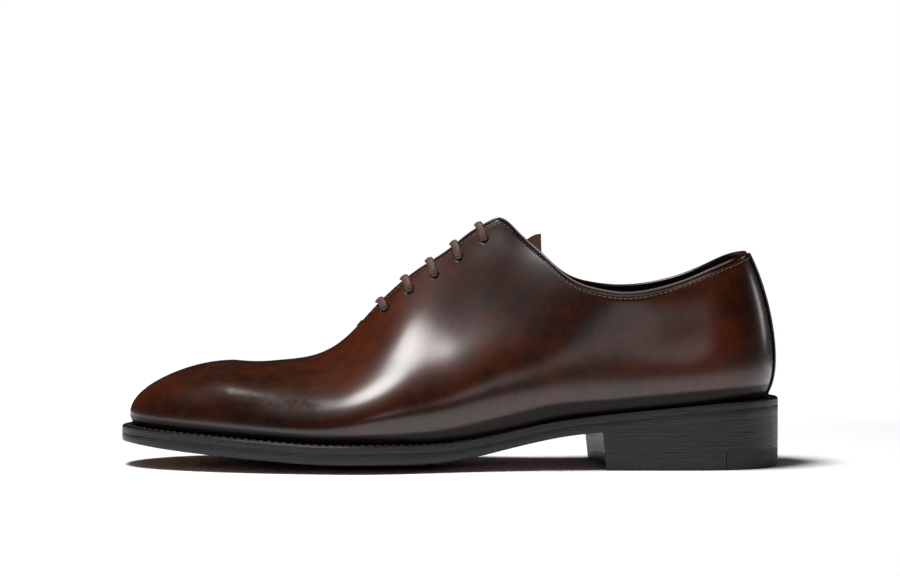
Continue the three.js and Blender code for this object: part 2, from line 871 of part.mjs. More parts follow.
function makeWelt() {
  const weltUnderside = (along, share) => soleTop(along, share) + fit;
  const middle = (place) => {
    const outside = edgeOf(place);
    const inside = weltInside(place);
    return { x: (outside.x + inside.x) / 2, y: (outside.y + inside.y) / 2 };
  };
  const lowOuter = soleLoop(edgeOf, weltUnderside);
  const lowMiddle = soleLoop(middle, weltUnderside);
  const lowInner = soleLoop(weltInside, weltUnderside);
  const topOuter = soleLoop(edgeOf, weltTop);
  const topInner = soleLoop(weltInside, weltTop);
  const corners = [];
  addRows(corners, [lowOuter, lowMiddle, lowInner, topInner, topOuter, lowOuter].map(closed));
  return solidFrom(corners);
}

function insoleEdge(place) {
  return offsetPlace(place, -(wall + fit));
}

function insoleStep(place) {
  return offsetPlace(place, weltMargin * foot.margin(place.along) - weltWidth - fit);
}

function makeInsole() {
  const overWelt = (along) => weltTop(along) + fit;
  const inWelt = (along, share) => soleTop(along, share) + fit;
  const top = (along, share) => (
    weltTop(along) + fit + insoleThickness - crownAt(along) * 0.5 * (1 - Math.min(1, share / 0.8) ** 2)
  );
  const inwards = [0.6, 0];
  const inner = (share) => (place) => towardsAxis(place, insoleStep(place), share);
  const loops = [
    soleLoop(insoleEdge, overWelt),
    soleLoop(insoleStep, overWelt),
    soleLoop(insoleStep, inWelt),
    ...inwards.map((share) => soleLoop(inner(share), inWelt)),
    ...[...inwards].reverse().slice(1).map((share) => soleLoop(inner(share), top)),
    soleLoop(insoleStep, top),
    soleLoop(insoleEdge, top),
    soleLoop(insoleEdge, overWelt),
  ];
  const corners = [];
  const centre = 2 + inwards.length;
  const below = loops.slice(0, centre + 1);
  const above = [soleLoop(inner(0), top), ...loops.slice(centre + 1)];
  addRows(corners, below.map(closed));
  addRows(corners, above.map(closed));
  return solidFrom(corners);
}

// Heel

// Half width of the sole's outline at a place along the shoe, read off its edge loop.
const edgeLoop = line.map(edgeOf);

function edgeY(x, side) {
  let best = 0;
  for (let k = 0; k < edgeLoop.length; k += 1) {
    const a = edgeLoop[k];
    const b = edgeLoop[(k + 1) % edgeLoop.length];
    const onSide = (a.y + b.y) * side >= 0;
    if (onSide && (a.x - x) * (b.x - x) <= 0 && a.x !== b.x) {
      const y = mix(a.y, b.y, (x - a.x) / (b.x - a.x));
      if (y * side > best * side) best = y;
    }
  }
  return best;
}

const backX = Math.max(...edgeLoop.map((point) => point.x));
const leastPlace = 0.02;

// A row of points across the heel, at a distance from its back.
function heelRow(place, height) {
  const count = 8;
  const x = backX - Math.max(place, leastPlace);
  const low = edgeY(x, LATERAL);
  const high = edgeY(x, MEDIAL);
  const seat = (at) => Math.max(0, Math.min(1, height / middleHeight(alongAt(at))));
  const fade = Math.max(0, 1 - (backX - x < breastPlace / 2 ? 1 : (breastPlace - place) / (breastPlace / 2)));
  const row = [];
  for (let k = 0; k <= count; k += 1) {
    const across = k / count;
    const curve = breastHollow * Math.sin(Math.PI * across) - breastSkew * across;
    const lean = breastLean * (1 - seat(x));
    const y = mix(low, high, across) * (1 - (heelTaper / (ballWidth / 3)) * (1 - seat(x)));
    row.push(new THREE.Vector3(x + (curve + lean) * fade, y, height));
  }
  return row;
}

function placesBetween(from, to, steps) {
  const places = [];
  for (let i = 0; i <= steps; i += 1) places.push(mix(from, to, i / steps));
  return places;
}

// Places from the breast to the back, closer together where the outline turns in.
function heelPlaces(from, to, steps) {
  if (to > 0) return placesBetween(from, to, steps);
  const places = [];
  for (let i = 0; i <= steps; i += 1) places.push(from * (1 - Math.sin((Math.PI / 2) * (i / steps))));
  return places;
}

function heelBlock(places, bottomHeight, topHeight) {
  const bottom = places.map((place) => heelRow(place, bottomHeight));
  const underSole = (point) => middleHeight(heightAlong(point.x)) - fit;
  const top = places.map((place) => (
    heelRow(place, topHeight).map((point) => point.setZ(Math.min(topHeight, underSole(point))))
  ));
  const corners = [];
  addRows(corners, bottom);
  addRows(corners, top.map((row) => [...row].reverse()));
  addStrip(corners, closed(rimOf(top)), closed(rimOf(bottom)));
  return solidFrom(corners);
}

function makeHeelStack() {
  return heelBlock(heelPlaces(breastPlace, 0, 14), liftThickness + fit, heelHeight);
}

function makeLeatherLift() {
  return heelBlock(heelPlaces(breastPlace, rubberLength + fit, 8), 0, liftThickness);
}

function makeRubberLift() {
  return heelBlock(heelPlaces(rubberLength, 0, 8), 0, liftThickness);
}

// Backstay: a strip over the back seam, laid on the upper's own surface

function backPoint(level, offset, lift) {
  const angleAt = (side) => -Math.asin(side / radiusAt(heelStation(0), level));
  const surface = (side, at) => pointAt(heelStation(angleAt(side)), at);
  const upward = surface(offset, level + slopeStep).sub(surface(offset, level - slopeStep));
  const sideways = surface(offset + 1, level).sub(surface(offset - 1, level));
  const normal = upward.cross(sideways).normalize();
  normal.multiplyScalar(Math.sign(normal.x));
  return surface(offset, level).addScaledVector(normal, lift);
}

// Levels that the strip stops short of the collar and of the welt.
const backstayTopGap = 0.006;
const backstayFootGap = 0.012;

function makeBackstay() {
  const columns = 6;
  const station = heelStation(0);
  const rowLevels = evenLevels(station, collarLevel(station) - backstayTopGap, 12);
  rowLevels[0] = backstayFootGap;
  const sheet = (lift) => rowLevels.map((level) => {
    const row = [];
    for (let k = 0; k <= columns; k += 1) {
      row.push(backPoint(level, backstayWidth * (k / columns - 0.5), lift));
    }
    return row;
  });
  const under = sheet(fit);
  const over = sheet(fit + backstayThickness);
  const corners = [];
  addRows(corners, over);
  addRows(corners, under.map((row) => [...row].reverse()));
  addStrip(corners, closed(rimOf(under)), closed(rimOf(over)));
  return solidFrom(corners);
}

// The shoe

function finish(color, roughness) {
  return new THREE.MeshStandardMaterial({ color, roughness, metalness: 0 });
}

const patinaLeather = finish(0x3a1a0e, 0.28);
const blackEdge = finish(0x0d0c0d, 0.35);
const sockLeather = finish(0x2a1c33, 0.6);
const blackRubber = finish(0x0b0b0b, 0.6);
const darkStrip = finish(0x120b09, 0.35);
const laceCotton = finish(0x4a3a35, 0.7);

const shoe = new THREE.Group();

function addPiece(name, geometry, material) {
  const mesh = new THREE.Mesh(geometry, material);
  mesh.name = name;
  shoe.add(mesh);
}

addPiece('upper', makePunchedUpper(), patinaLeather);
addPiece('tongue', makeTongue(), patinaLeather);
addPiece('insole', makeInsole(), sockLeather);
addPiece('welt', makeWelt(), blackEdge);
addPiece('outsole', makeOutsole(), blackEdge);
addPiece('heel_stack', makeHeelStack(), blackEdge);
addPiece('lift_leather', makeLeatherLift(), blackEdge);
addPiece('lift_rubber', makeRubberLift(), blackRubber);
addPiece('backstay', makeBackstay(), darkStrip);
addPiece('lace', makeLace(), laceCotton);

// The origin is on the floor, below the middle of the shoe.
const box = new THREE.Box3().setFromObject(shoe);
const middle = box.getCenter(new THREE.Vector3());
shoe.position.set(-middle.x, -middle.y, 0);
shoe.updateMatrixWorld(true);

export default shoe;
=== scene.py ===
# Whole cut oxford, left shoe: the finished pieces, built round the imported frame.
# Sizes are millimetres in the shoe's own frame. Toe towards -X, lateral side towards -Y.

import math

import bmesh
import bpy
import numpy as np
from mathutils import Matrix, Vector


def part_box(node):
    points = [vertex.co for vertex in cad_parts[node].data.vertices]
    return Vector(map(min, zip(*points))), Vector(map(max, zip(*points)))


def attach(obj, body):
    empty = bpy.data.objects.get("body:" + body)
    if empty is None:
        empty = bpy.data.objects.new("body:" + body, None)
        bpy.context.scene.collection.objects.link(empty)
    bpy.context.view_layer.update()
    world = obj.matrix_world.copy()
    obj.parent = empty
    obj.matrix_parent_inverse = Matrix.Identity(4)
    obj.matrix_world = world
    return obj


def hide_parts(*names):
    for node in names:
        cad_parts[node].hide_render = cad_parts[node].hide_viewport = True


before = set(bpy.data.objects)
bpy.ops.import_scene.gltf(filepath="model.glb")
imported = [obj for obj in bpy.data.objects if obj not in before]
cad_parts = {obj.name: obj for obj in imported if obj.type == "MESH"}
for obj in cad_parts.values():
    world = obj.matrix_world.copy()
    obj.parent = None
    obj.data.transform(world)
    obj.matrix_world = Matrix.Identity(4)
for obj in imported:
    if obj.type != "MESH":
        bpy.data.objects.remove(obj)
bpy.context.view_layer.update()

# Driving sizes, the same as in the part's source

SOLE_LENGTH = 308
BALL_WIDTH = 95
HEEL_HEIGHT = 24.2
TOE_SPRING = 11.5
CROWN_HEIGHT = 4.4
WELT_MARGIN = 5.6
SOLE_THICKNESS = 5
WELT_THICKNESS = 3.1
WELT_WIDTH = 14
INSTEP_RISE = 99.2
COLLAR_RISE = 69
WALL = 2
FIT = 0.3
BREAST_PLACE = 84
BREAST_SKEW = 5.5
BREAST_HOLLOW = 4
BREAST_LEAN = 1.8
HEEL_TAPER = 0.8
LIFT_THICKNESS = 8.4
RUBBER_LENGTH = 27
INSOLE_THICKNESS = 2.6
TONGUE_THICKNESS = 2
TONGUE_HALF_WIDTH = 21
TONGUE_REACH = 19.5
TONGUE_TUCK = 10
TONGUE_LIFT = 1.8
RAMP_START = 3
RAMP_END = 6.2
BACKSTAY_WIDTH = 12
BACKSTAY_THICKNESS = 1.2
LACE_WIDTH = 3.8
LACE_THICKNESS = 1.7
LACE_ROOM = 3
LACE_LEAN = 2.6
LOW_HOLE_INSET = 7.4
TOP_HOLE_INSET = 5
FIRST_HOLE_GAP = 12
HOLE_PITCH = 11.6
HOLE_COUNT = 5

# Sizes that only the finished pieces have

HOLE_DIAMETER = 3.8
BEAD = 0.8
SLIT_BEAD = 0.35
BEAD_BLEND = 0.03
SLIT_HALF = 0.9
GROOVE_PLACE = 1.7
GROOVE_DEPTH = 0.3
GROOVE_WIDTH = 0.4
STITCH_DENT = 0.12
STITCH_DENT_WIDTH = 0.5
DENT_START = 0.02
STITCH_PLACE = 2.9
STITCH_PITCH = 2.4
STITCH_LENGTH = 1.75
STITCH_RADIUS = 0.24
STITCH_SIDES = 8
STITCH_STAND = 0.55
STITCH_DIP = 1.1
STITCH_TAPER = 0.85
STITCH_TIP = 0.08
TACK_COUNT = 7
TACK_START = 0.9
TACK_PITCH = 0.34
TACK_HALF = 1.9
TACK_STAND = 0.28
TACK_DIP = 0.5
TACK_THREAD = 0.42
CORNER_START = 110
CORNER_END = 126
CORNER_PITCH = 1.9
CORNER_LENGTH = 1.15
CORNER_RADIUS = 0.5
WELT_STITCH_PLACE = 2.6
WELT_STITCH_PITCH = 3.6
WELT_STITCH_LENGTH = 2.5
WELT_STITCH_RADIUS = 0.42
SOCK_HOLLOW_SHARE = 0.8
HEEL_BEVEL = 0.1
FOREPART_BEVEL = 0.8
SOLE_SWELL = 0.04
SOLE_ROUND = 0.05
BEVEL_START = 0.27
FOREPART_START = 0.33
WELT_GROOVE_DEPTH = 0.3
WELT_GROOVE_HALF = 0.9
WELT_STITCH_ROOM = 0.4
WELT_DROP = 0.24
WELT_SLOPE_WIDTH = 0.55
WELT_SLOPE_HEIGHT = 0.65

HEEL_POLE = 0.131
COLLAR_FRONT = 0.421
THROAT = 0.6425
TOE_POLE = 0.843

LATERAL = -1
MEDIAL = 1
FORWARD = [1.0, 0.0, 0.0]
UP = [0.0, 0.0, 1.0]

# Tables, shares of the driving sizes

FOOT_LINE = [
    # along, lateral, medial, axis, margin
    (0.000, 0.000, 0.000, 0.000, 1.11),
    (0.020, 0.193, 0.189, 0.000, 0.95),
    (0.060, 0.296, 0.285, 0.000, 0.72),
    (0.100, 0.329, 0.312, 0.000, 0.56),
    (0.150, 0.339, 0.314, 0.000, 0.50),
    (0.262, 0.337, 0.281, -0.013, 0.50),
    (0.338, 0.347, 0.240, -0.021, 0.52),
    (0.398, 0.363, 0.222, -0.021, 0.55),
    (0.452, 0.389, 0.250, -0.018, 0.62),
    (0.548, 0.460, 0.350, -0.005, 0.82),
    (0.637, 0.508, 0.433, 0.024, 0.96),
    (0.688, 0.499, 0.466, 0.038, 0.98),
    (0.729, 0.481, 0.476, 0.046, 0.98),
    (0.790, 0.446, 0.451, 0.047, 0.97),
    (0.843, 0.404, 0.411, 0.042, 0.97),
    (0.891, 0.350, 0.362, 0.036, 0.98),
    (0.930, 0.292, 0.308, 0.030, 1.00),
    (0.962, 0.225, 0.240, 0.020, 1.00),
    (0.985, 0.150, 0.158, 0.010, 1.00),
    (1.000, 0.000, 0.000, 0.000, 1.00),
]
UNDERSIDE = [
    # along, seat, spring, crown, thick
    (0.000, 0.985, 0.000, 0.00, 0.92),
    (0.067, 0.950, 0.000, 0.00, 0.92),
    (0.124, 0.893, 0.000, 0.00, 0.91),
    (0.188, 0.818, 0.000, 0.00, 0.90),
    (0.259, 0.731, 0.000, 0.02, 0.87),
    (0.330, 0.591, 0.000, 0.22, 0.84),
    (0.377, 0.440, 0.000, 0.41, 0.84),
    (0.425, 0.277, 0.000, 0.59, 0.86),
    (0.472, 0.132, 0.000, 0.76, 0.92),
    (0.506, 0.050, 0.000, 0.88, 0.97),
    (0.545, 0.004, 0.000, 0.97, 1.00),
    (0.582, 0.000, 0.000, 1.00, 1.00),
    (0.637, 0.000, 0.000, 1.00, 1.00),
    (0.681, 0.000, 0.000, 1.00, 1.00),
    (0.729, 0.000, 0.055, 0.98, 1.00),
    (0.773, 0.000, 0.148, 0.94, 1.00),
    (0.820, 0.000, 0.262, 0.86, 1.00),
    (0.867, 0.000, 0.405, 0.72, 0.99),
    (0.918, 0.000, 0.590, 0.50, 0.95),
    (1.000, 0.000, 0.965, 0.05, 0.80),
]
LEVELS = [0, 0.07, 0.2, 0.5, 0.8, 0.93, 1]
FEATHER_SHARE = 0.66
SECTIONS = [
    # along, rise, low, mid, high on the lateral side, the same on the medial side, peak
    (0.131, 0.772, 1.11, 0.97, 0.72, 1.11, 0.99, 0.75, 0.59),
    (0.150, 0.772, 1.112, 0.974, 0.725, 1.112, 0.996, 0.757, 0.59),
    (0.232, 0.803, 1.13, 1.02, 0.79, 1.14, 1.07, 0.85, 0.59),
    (0.334, 0.895, 1.15, 0.96, 0.58, 1.20, 1.15, 0.72, 0.50),
    (0.391, 0.965, 1.13, 0.83, 0.41, 1.24, 1.06, 0.52, 0.42),
    (0.421, 1.000, 1.12, 0.76, 0.34, 1.24, 0.98, 0.43, 0.40),
    (0.436, 0.990, 1.12, 0.748, 0.325, 1.22, 0.95, 0.41, 0.40),
    (0.468, 0.950, 1.10, 0.726, 0.30, 1.17, 0.89, 0.385, 0.42),
    (0.499, 0.887, 1.085, 0.710, 0.283, 1.13, 0.84, 0.36, 0.44),
    (0.547, 0.799, 1.07, 0.714, 0.273, 1.09, 0.81, 0.335, 0.46),
    (0.595, 0.682, 1.06, 0.745, 0.285, 1.08, 0.82, 0.33, 0.47),
    (0.627, 0.584, 1.055, 0.785, 0.32, 1.07, 0.85, 0.38, 0.49),
    (0.657, 0.487, 1.055, 0.84, 0.40, 1.06, 0.88, 0.46, 0.52),
    (0.690, 0.412, 1.05, 0.885, 0.50, 1.06, 0.92, 0.55, 0.55),
    (0.722, 0.372, 1.05, 0.915, 0.575, 1.05, 0.935, 0.60, 0.57),
    (0.769, 0.344, 1.045, 0.935, 0.64, 1.05, 0.945, 0.66, 0.58),
    (0.800, 0.331, 1.04, 0.955, 0.685, 1.04, 0.96, 0.69, 0.585),
    (0.843, 0.329, 1.04, 0.965, 0.705, 1.04, 0.965, 0.705, 0.59),
]
TOE_SHAPE = (1.04, 0.932, 0.612, 0.59)
BACK_SHAPE = (1.1, 0.99, 0.68, 0.59)
BACK_RISE = 0.928
COLLAR = [
    # along, lateral, medial, instep
    (0.000, 1.000, 1.000, 0.000),
    (0.030, 0.990, 0.995, 0.000),
    (0.055, 0.955, 0.970, 0.000),
    (0.087, 0.910, 0.915, 0.000),
    (0.131, 0.849, 0.854, 0.000),
    (0.178, 0.809, 0.822, 0.000),
    (0.226, 0.803, 0.824, 0.000),
    (0.273, 0.852, 0.868, 0.000),
    (0.296, 0.893, 0.905, 0.000),
    (0.326, 0.780, 0.786, 0.148),
    (0.357, 0.550, 0.552, 0.415),
    (0.391, 0.240, 0.240, 0.743),
    (0.411, 0.080, 0.080, 0.925),
    (0.430, 0.000, 0.000, 1.010),
]

# Interpolation


def bend_matrix(xs):
    """The matrix that turns a natural cubic spline's values into its second derivatives."""
    count = len(xs)
    system = np.eye(count)
    turns = np.zeros((count, count))
    for i in range(1, count - 1):
        before = xs[i] - xs[i - 1]
        after = xs[i + 1] - xs[i]
        system[i, i - 1:i + 2] = before, 2 * (before + after), after
        turns[i, i - 1:i + 2] = 6 / before, -6 / before - 6 / after, 6 / after
    return np.linalg.solve(system, turns)


def spline_value(xs, ys, bends, x):
    """Values at x. ys and bends hold a row of knots for each row of x."""
    at = np.clip(x, xs[0], xs[-1])
    i = np.clip(np.searchsorted(xs, at) - 1, 0, len(xs) - 2)
    step = xs[i + 1] - xs[i]
    b = (at - xs[i]) / step
    a = 1 - b
    rows = np.arange(len(ys)).reshape((-1,) + (1,) * (i.ndim - 1))
    cubic = (a**3 - a) * bends[rows, i] + (b**3 - b) * bends[rows, i + 1]
    return a * ys[rows, i] + b * ys[rows, i + 1] + cubic * step**2 / 6


def spline(xs, ys):
    """Natural cubic spline through the knots, level beyond them."""
    xs = np.asarray(xs, float)
    ys = np.asarray(ys, float)[None, :]
    bends = ys @ bend_matrix(xs).T
    return lambda x: spline_value(xs, ys, bends, np.asarray(x, float)[None])[0]


def curves(rows, change=lambda value: value):
    """A spline through each column of a table, against its first column."""
    data = np.array(rows)
    return [spline(data[:, 0], change(data[:, column])) for column in range(1, data.shape[1])]


def mix(a, b, share):
    return a + (b - a) * share


def smoothstep(x, low, high):
    t = np.clip((x - low) / (high - low), 0, 1)
    return t * t * (3 - 2 * t)


def bisect(low, high, is_below, steps=36):
    for _ in range(steps):
        middle = (low + high) / 2
        below = is_below(middle)
        low = np.where(below, middle, low)
        high = np.where(below, high, middle)
    return (low + high) / 2


def unit(vectors):
    return vectors / np.maximum(np.linalg.norm(vectors, axis=-1, keepdims=True), 1e-9)


foot_squares = curves(FOOT_LINE, np.square)
foot_axis, foot_margin = curves(FOOT_LINE)[2:]
seat_curve, spring_curve, crown_curve, thick_curve = curves(UNDERSIDE)
section_curves = curves(SECTIONS)
collar_lateral, collar_medial, collar_instep = curves(COLLAR)
level_knots = np.array(LEVELS, float)
level_bends = bend_matrix(level_knots)

# The last

heel_margin = WELT_MARGIN * foot_margin(0)
last_length = SOLE_LENGTH - heel_margin - WELT_MARGIN * foot_margin(1)


def x_at(along):
    return SOLE_LENGTH / 2 - heel_margin - along * last_length


def along_at(x):
    return (SOLE_LENGTH / 2 - heel_margin - x) / last_length


def half_width(along, side):
    squared = np.where(side < 0, foot_squares[0](along), foot_squares[1](along))
    inside = (along >= 0) & (along <= 1)
    return np.where(inside, BALL_WIDTH * np.sqrt(np.maximum(0, squared)), 0)


def axis_y(along):
    return BALL_WIDTH * foot_axis(along)


def middle_height(along):
    return np.maximum(0, HEEL_HEIGHT * seat_curve(along) + TOE_SPRING * spring_curve(along))


FLAT_SHARE = 0.15


def underside_height(along, share):
    ramp = np.maximum(0, (share - FLAT_SHARE) / (1 - FLAT_SHARE)) ** 1.5
    return middle_height(along) + CROWN_HEIGHT * np.maximum(0, crown_curve(along)) * ramp


def sole_top(along, share=1):
    return underside_height(along, share) + SOLE_THICKNESS * thick_curve(along)


def welt_top(along):
    return sole_top(along) + FIT + WELT_THICKNESS


def ridge_height(along):
    return welt_top(along) + FIT + INSTEP_RISE * section_curves[0](along)


class Stations:
    """Upright half sections, each from a point on an axis out to the foot line."""

    def __init__(self, axis, direction, reach, top, shape, side, top_is_rise=False):
        self.axis = axis
        self.direction = direction
        self.reach = reach
        self.side = side
        self.foot = axis + direction * reach[:, None]
        self.foot_height = welt_top(along_at(self.foot[:, 0])) + FIT
        self.rise = top if top_is_rise else top - self.foot_height
        low, mid, high, peak = shape
        ones = np.ones_like(reach)
        feather = mix(ones, low**2, FEATHER_SHARE)
        squares = np.stack([ones, feather, low**2, mid**2, high**2, (high * peak) ** 2, 0 * ones], axis=1)
        self.squares = squares
        self.bends = squares @ level_bends.T

    def radius(self, levels):
        squared = spline_value(level_knots, self.squares, self.bends, levels)
        reach = self.reach.reshape((-1,) + (1,) * (squared.ndim - 1))
        return reach * np.sqrt(np.maximum(0, squared))

    def points(self, levels):
        """Points at levels, which holds one number or one row for each station."""
        table = levels.reshape(len(self.reach), -1)
        radius = self.radius(table)[..., None]
        flat = self.axis[:, None] + self.direction[:, None] * radius
        height = self.foot_height[:, None] + self.rise[:, None] * table
        found = np.concatenate([flat, height[..., None]], axis=-1)
        return found.reshape(levels.shape + (3,))


def join_stations(parts):
    whole = object.__new__(Stations)
    for name in vars(parts[0]):
        setattr(whole, name, np.concatenate([getattr(part, name) for part in parts]))
    return whole


def side_shape(along, side):
    pairs = zip(section_curves[1:4], section_curves[4:7])
    columns = [np.where(side < 0, lateral(along), medial(along)) for lateral, medial in pairs]
    return [*columns, section_curves[7](along)]


def side_stations(along, side):
    axis = np.stack([x_at(along), axis_y(along)], axis=-1)
    direction = np.stack([0 * along, side + 0 * along], axis=-1)
    reach = half_width(along, side) - side * axis[:, 1]
    return Stations(axis, direction, reach, ridge_height(along), side_shape(along, side), side + 0 * along)


def reach_to_foot_line(axis, direction):
    def is_inside(reach):
        place = axis + direction * reach[:, None]
        side = np.where(place[:, 1] < 0, LATERAL, MEDIAL)
        return np.abs(place[:, 1]) < half_width(along_at(place[:, 0]), side)

    return bisect(np.zeros(len(axis)), np.full(len(axis), float(SOLE_LENGTH)), is_inside)


def pole_axis(along, count):
    return np.tile([x_at(along), axis_y(along)], (count, 1))


def blend_shape(shape, end_shape, share):
    return [mix(column, end, share) for column, end in zip(shape, end_shape)]


def heel_stations(angle):
    """Stations that turn round the heel: 0 is the back, and a quarter turn is the lateral side."""
    side = np.where(angle > 0, LATERAL, MEDIAL)
    axis = pole_axis(HEEL_POLE, len(angle))
    direction = np.stack([np.cos(angle), -np.sin(angle)], axis=-1)
    back = np.cos(angle) ** 2
    shape = blend_shape(side_shape(HEEL_POLE + 0 * angle, side), BACK_SHAPE, back)
    rise = INSTEP_RISE * mix(section_curves[0](HEEL_POLE), BACK_RISE, back)
    reach = reach_to_foot_line(axis, direction)
    return Stations(axis, direction, reach, rise, shape, side, top_is_rise=True)


def toe_stations(angle):
    """Stations that turn round the toe, from 0 at the lateral side to pi at the medial side."""
    side = np.where(angle < math.pi / 2, LATERAL, MEDIAL)
    axis = pole_axis(TOE_POLE, len(angle))
    direction = np.stack([-np.sin(angle), -np.cos(angle)], axis=-1)
    shape = blend_shape(side_shape(TOE_POLE + 0 * angle, side), TOE_SHAPE, np.sin(angle) ** 2)
    top = ridge_height(TOE_POLE) + 0 * angle
    return Stations(axis, direction, reach_to_foot_line(axis, direction), top, shape, side)


FIRST_OPEN_LEVEL = 0.3


def collar_height(along, y):
    rise = np.where(y < 0, collar_lateral(along), collar_medial(along))
    return welt_top(along) + FIT + COLLAR_RISE * rise + INSTEP_RISE * collar_instep(along)


def open_levels(stations, lower=0.0):
    start = np.full(len(stations.reach), FIRST_OPEN_LEVEL)

    def is_below(level):
        point = stations.points(level)
        return point[:, 2] < collar_height(along_at(point[:, 0]), point[:, 1]) - lower

    return bisect(start, 1 + 0 * start, is_below)


def slit_levels(stations, half):
    start = np.full(len(stations.reach), FIRST_OPEN_LEVEL)
    return bisect(start, 1 + 0 * start, lambda level: stations.radius(level) > half)


# Spacing of the fine stations

HEEL_STEPS = 44
COLLAR_STEPS = 76
FACING_STEPS = 54
VAMP_STEPS = 42
TOE_STEPS = 84


def make_ring():
    """Stations from the back of the heel along the lateral side, round the toe, and back."""
    turn = np.linspace(0, math.pi / 2, HEEL_STEPS, endpoint=False)
    spread = np.linspace(1, 0, COLLAR_STEPS + 1) ** 1.15
    sides = np.concatenate([
        mix(COLLAR_FRONT, HEEL_POLE, spread),
        np.linspace(COLLAR_FRONT, THROAT, FACING_STEPS + 1)[1:],
        np.linspace(THROAT, TOE_POLE, VAMP_STEPS + 1)[1:],
    ])
    toe = np.linspace(0, math.pi, TOE_STEPS + 1)[1:-1]
    stations = join_stations([
        heel_stations(turn),
        side_stations(sides, LATERAL),
        toe_stations(toe),
        side_stations(sides[::-1], MEDIAL),
        heel_stations(-turn[:0:-1]),
    ])
    along = np.concatenate([0 * turn, sides, 0 * toe + 1, sides[::-1], 0 * turn[1:]])
    return stations, along


ring, ring_along = make_ring()
is_open = ring_along < THROAT - 1e-6
is_slit = is_open & (ring_along >= COLLAR_FRONT)

# Meshes

outsole_low, outsole_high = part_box("outsole")


def foot_line_normals():
    foot = ring.foot
    tangent = unit(np.roll(foot, -1, axis=0) - np.roll(foot, 1, axis=0))
    normal = np.stack([tangent[:, 1], -tangent[:, 0]], axis=-1)
    outward = np.sum((foot - ring.axis) * normal, axis=-1, keepdims=True)
    return normal * np.sign(outward)


foot_normals = foot_line_normals()
foot_along = along_at(ring.foot[:, 0])
edge_margin = WELT_MARGIN * foot_margin(foot_along)


def edge_place(inset):
    """Places along the sole's edge, moved in by inset."""
    return ring.foot + foot_normals * (edge_margin - inset)[:, None]


sole_edge = edge_place(0)
frame_shift = np.array([
    outsole_high.x * 1000 - sole_edge[:, 0].max(),
    outsole_low.y * 1000 - sole_edge[:, 1].min(),
    0,
])


def to_frame(points):
    return (points + frame_shift) / 1000


class Piece:
    """Gathers grids of points, and joins them into one closed mesh object."""

    def __init__(self, name):
        self.name = name
        self.points = []
        self.faces = []
        self.slots = []
        self.values = {}
        self.count = 0

    def grid(self, points, slot=0, wrap_rows=False, wrap_columns=False, values=None):
        """A sheet of quads over points[row, column]. Every grid of a piece has the same values."""
        rows, columns = points.shape[:2]
        index = self.count + np.arange(rows * columns).reshape(rows, columns)
        if wrap_rows:
            index = np.concatenate([index, index[:1]])
        if wrap_columns:
            index = np.concatenate([index, index[:, :1]], axis=1)
        quads = np.stack([index[:-1, :-1], index[:-1, 1:], index[1:, 1:], index[1:, :-1]], axis=-1)
        quads = quads.reshape(-1, 4)
        self.points.append(points.reshape(-1, 3))
        self.faces.append(quads)
        self.slots.append(np.full(len(quads), slot))
        for name, column in (values or {}).items():
            self.values.setdefault(name, []).append(np.ravel(column))
        self.count += rows * columns

    def build(self, materials, sharp_degrees=40):
        points = to_frame(np.concatenate(self.points))
        faces = np.concatenate(self.faces)
        mesh = bpy.data.meshes.new(self.name)
        mesh.from_pydata(points.tolist(), [], faces.tolist())
        mesh.polygons.foreach_set("material_index", np.concatenate(self.slots).astype(np.int32))
        for name, columns in self.values.items():
            attribute = mesh.attributes.new(name, "FLOAT", "POINT")
            attribute.data.foreach_set("value", np.concatenate(columns).astype(np.float32))
        for material in materials:
            mesh.materials.append(material)
        weld(mesh)
        mesh.shade_smooth()
        mesh.set_sharp_from_angle(angle=math.radians(sharp_degrees))
        piece = bpy.data.objects.new(self.name, mesh)
        bpy.context.scene.collection.objects.link(piece)
        return piece


def weld(mesh):
    """Joins points that coincide and turns the faces outwards."""
    work = bmesh.new()
    work.from_mesh(mesh)
    bmesh.ops.remove_doubles(work, verts=work.verts, dist=2e-6)
    bmesh.ops.dissolve_degenerate(work, edges=work.edges, dist=1e-6)
    bmesh.ops.recalc_face_normals(work, faces=work.faces)
    work.to_mesh(mesh)
    work.free()


def mesh_points(piece):
    """The piece's points in millimetres, in the shoe's own frame."""
    flat = np.zeros(len(piece.data.vertices) * 3, np.float32)
    piece.data.vertices.foreach_get("co", flat)
    return flat.reshape(-1, 3) * 1000 - frame_shift


def set_value(piece, name, values):
    attributes = piece.data.attributes
    attribute = attributes.get(name) or attributes.new(name, "FLOAT", "POINT")
    attribute.data.foreach_set("value", values.astype(np.float32))


def stand_for(piece, slot, *nodes):
    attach(piece, "root")
    if nodes:
        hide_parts(*nodes)


# Materials

# Places of the colour sockets on a mix node
MIX_COLOR_A = 6
MIX_COLOR_B = 7
MIX_RESULT = 2


def feed(tree, socket, value):
    """Links a socket's value, or sets a plain one."""
    if isinstance(value, bpy.types.NodeSocket):
        tree.links.new(value, socket)
    else:
        socket.default_value = value


def add_node(tree, kind, inputs=None, **settings):
    made = tree.nodes.new(kind)
    for key, value in settings.items():
        setattr(made, key, value)
    for key, value in (inputs or {}).items():
        feed(tree, made.inputs[key], value)
    return made


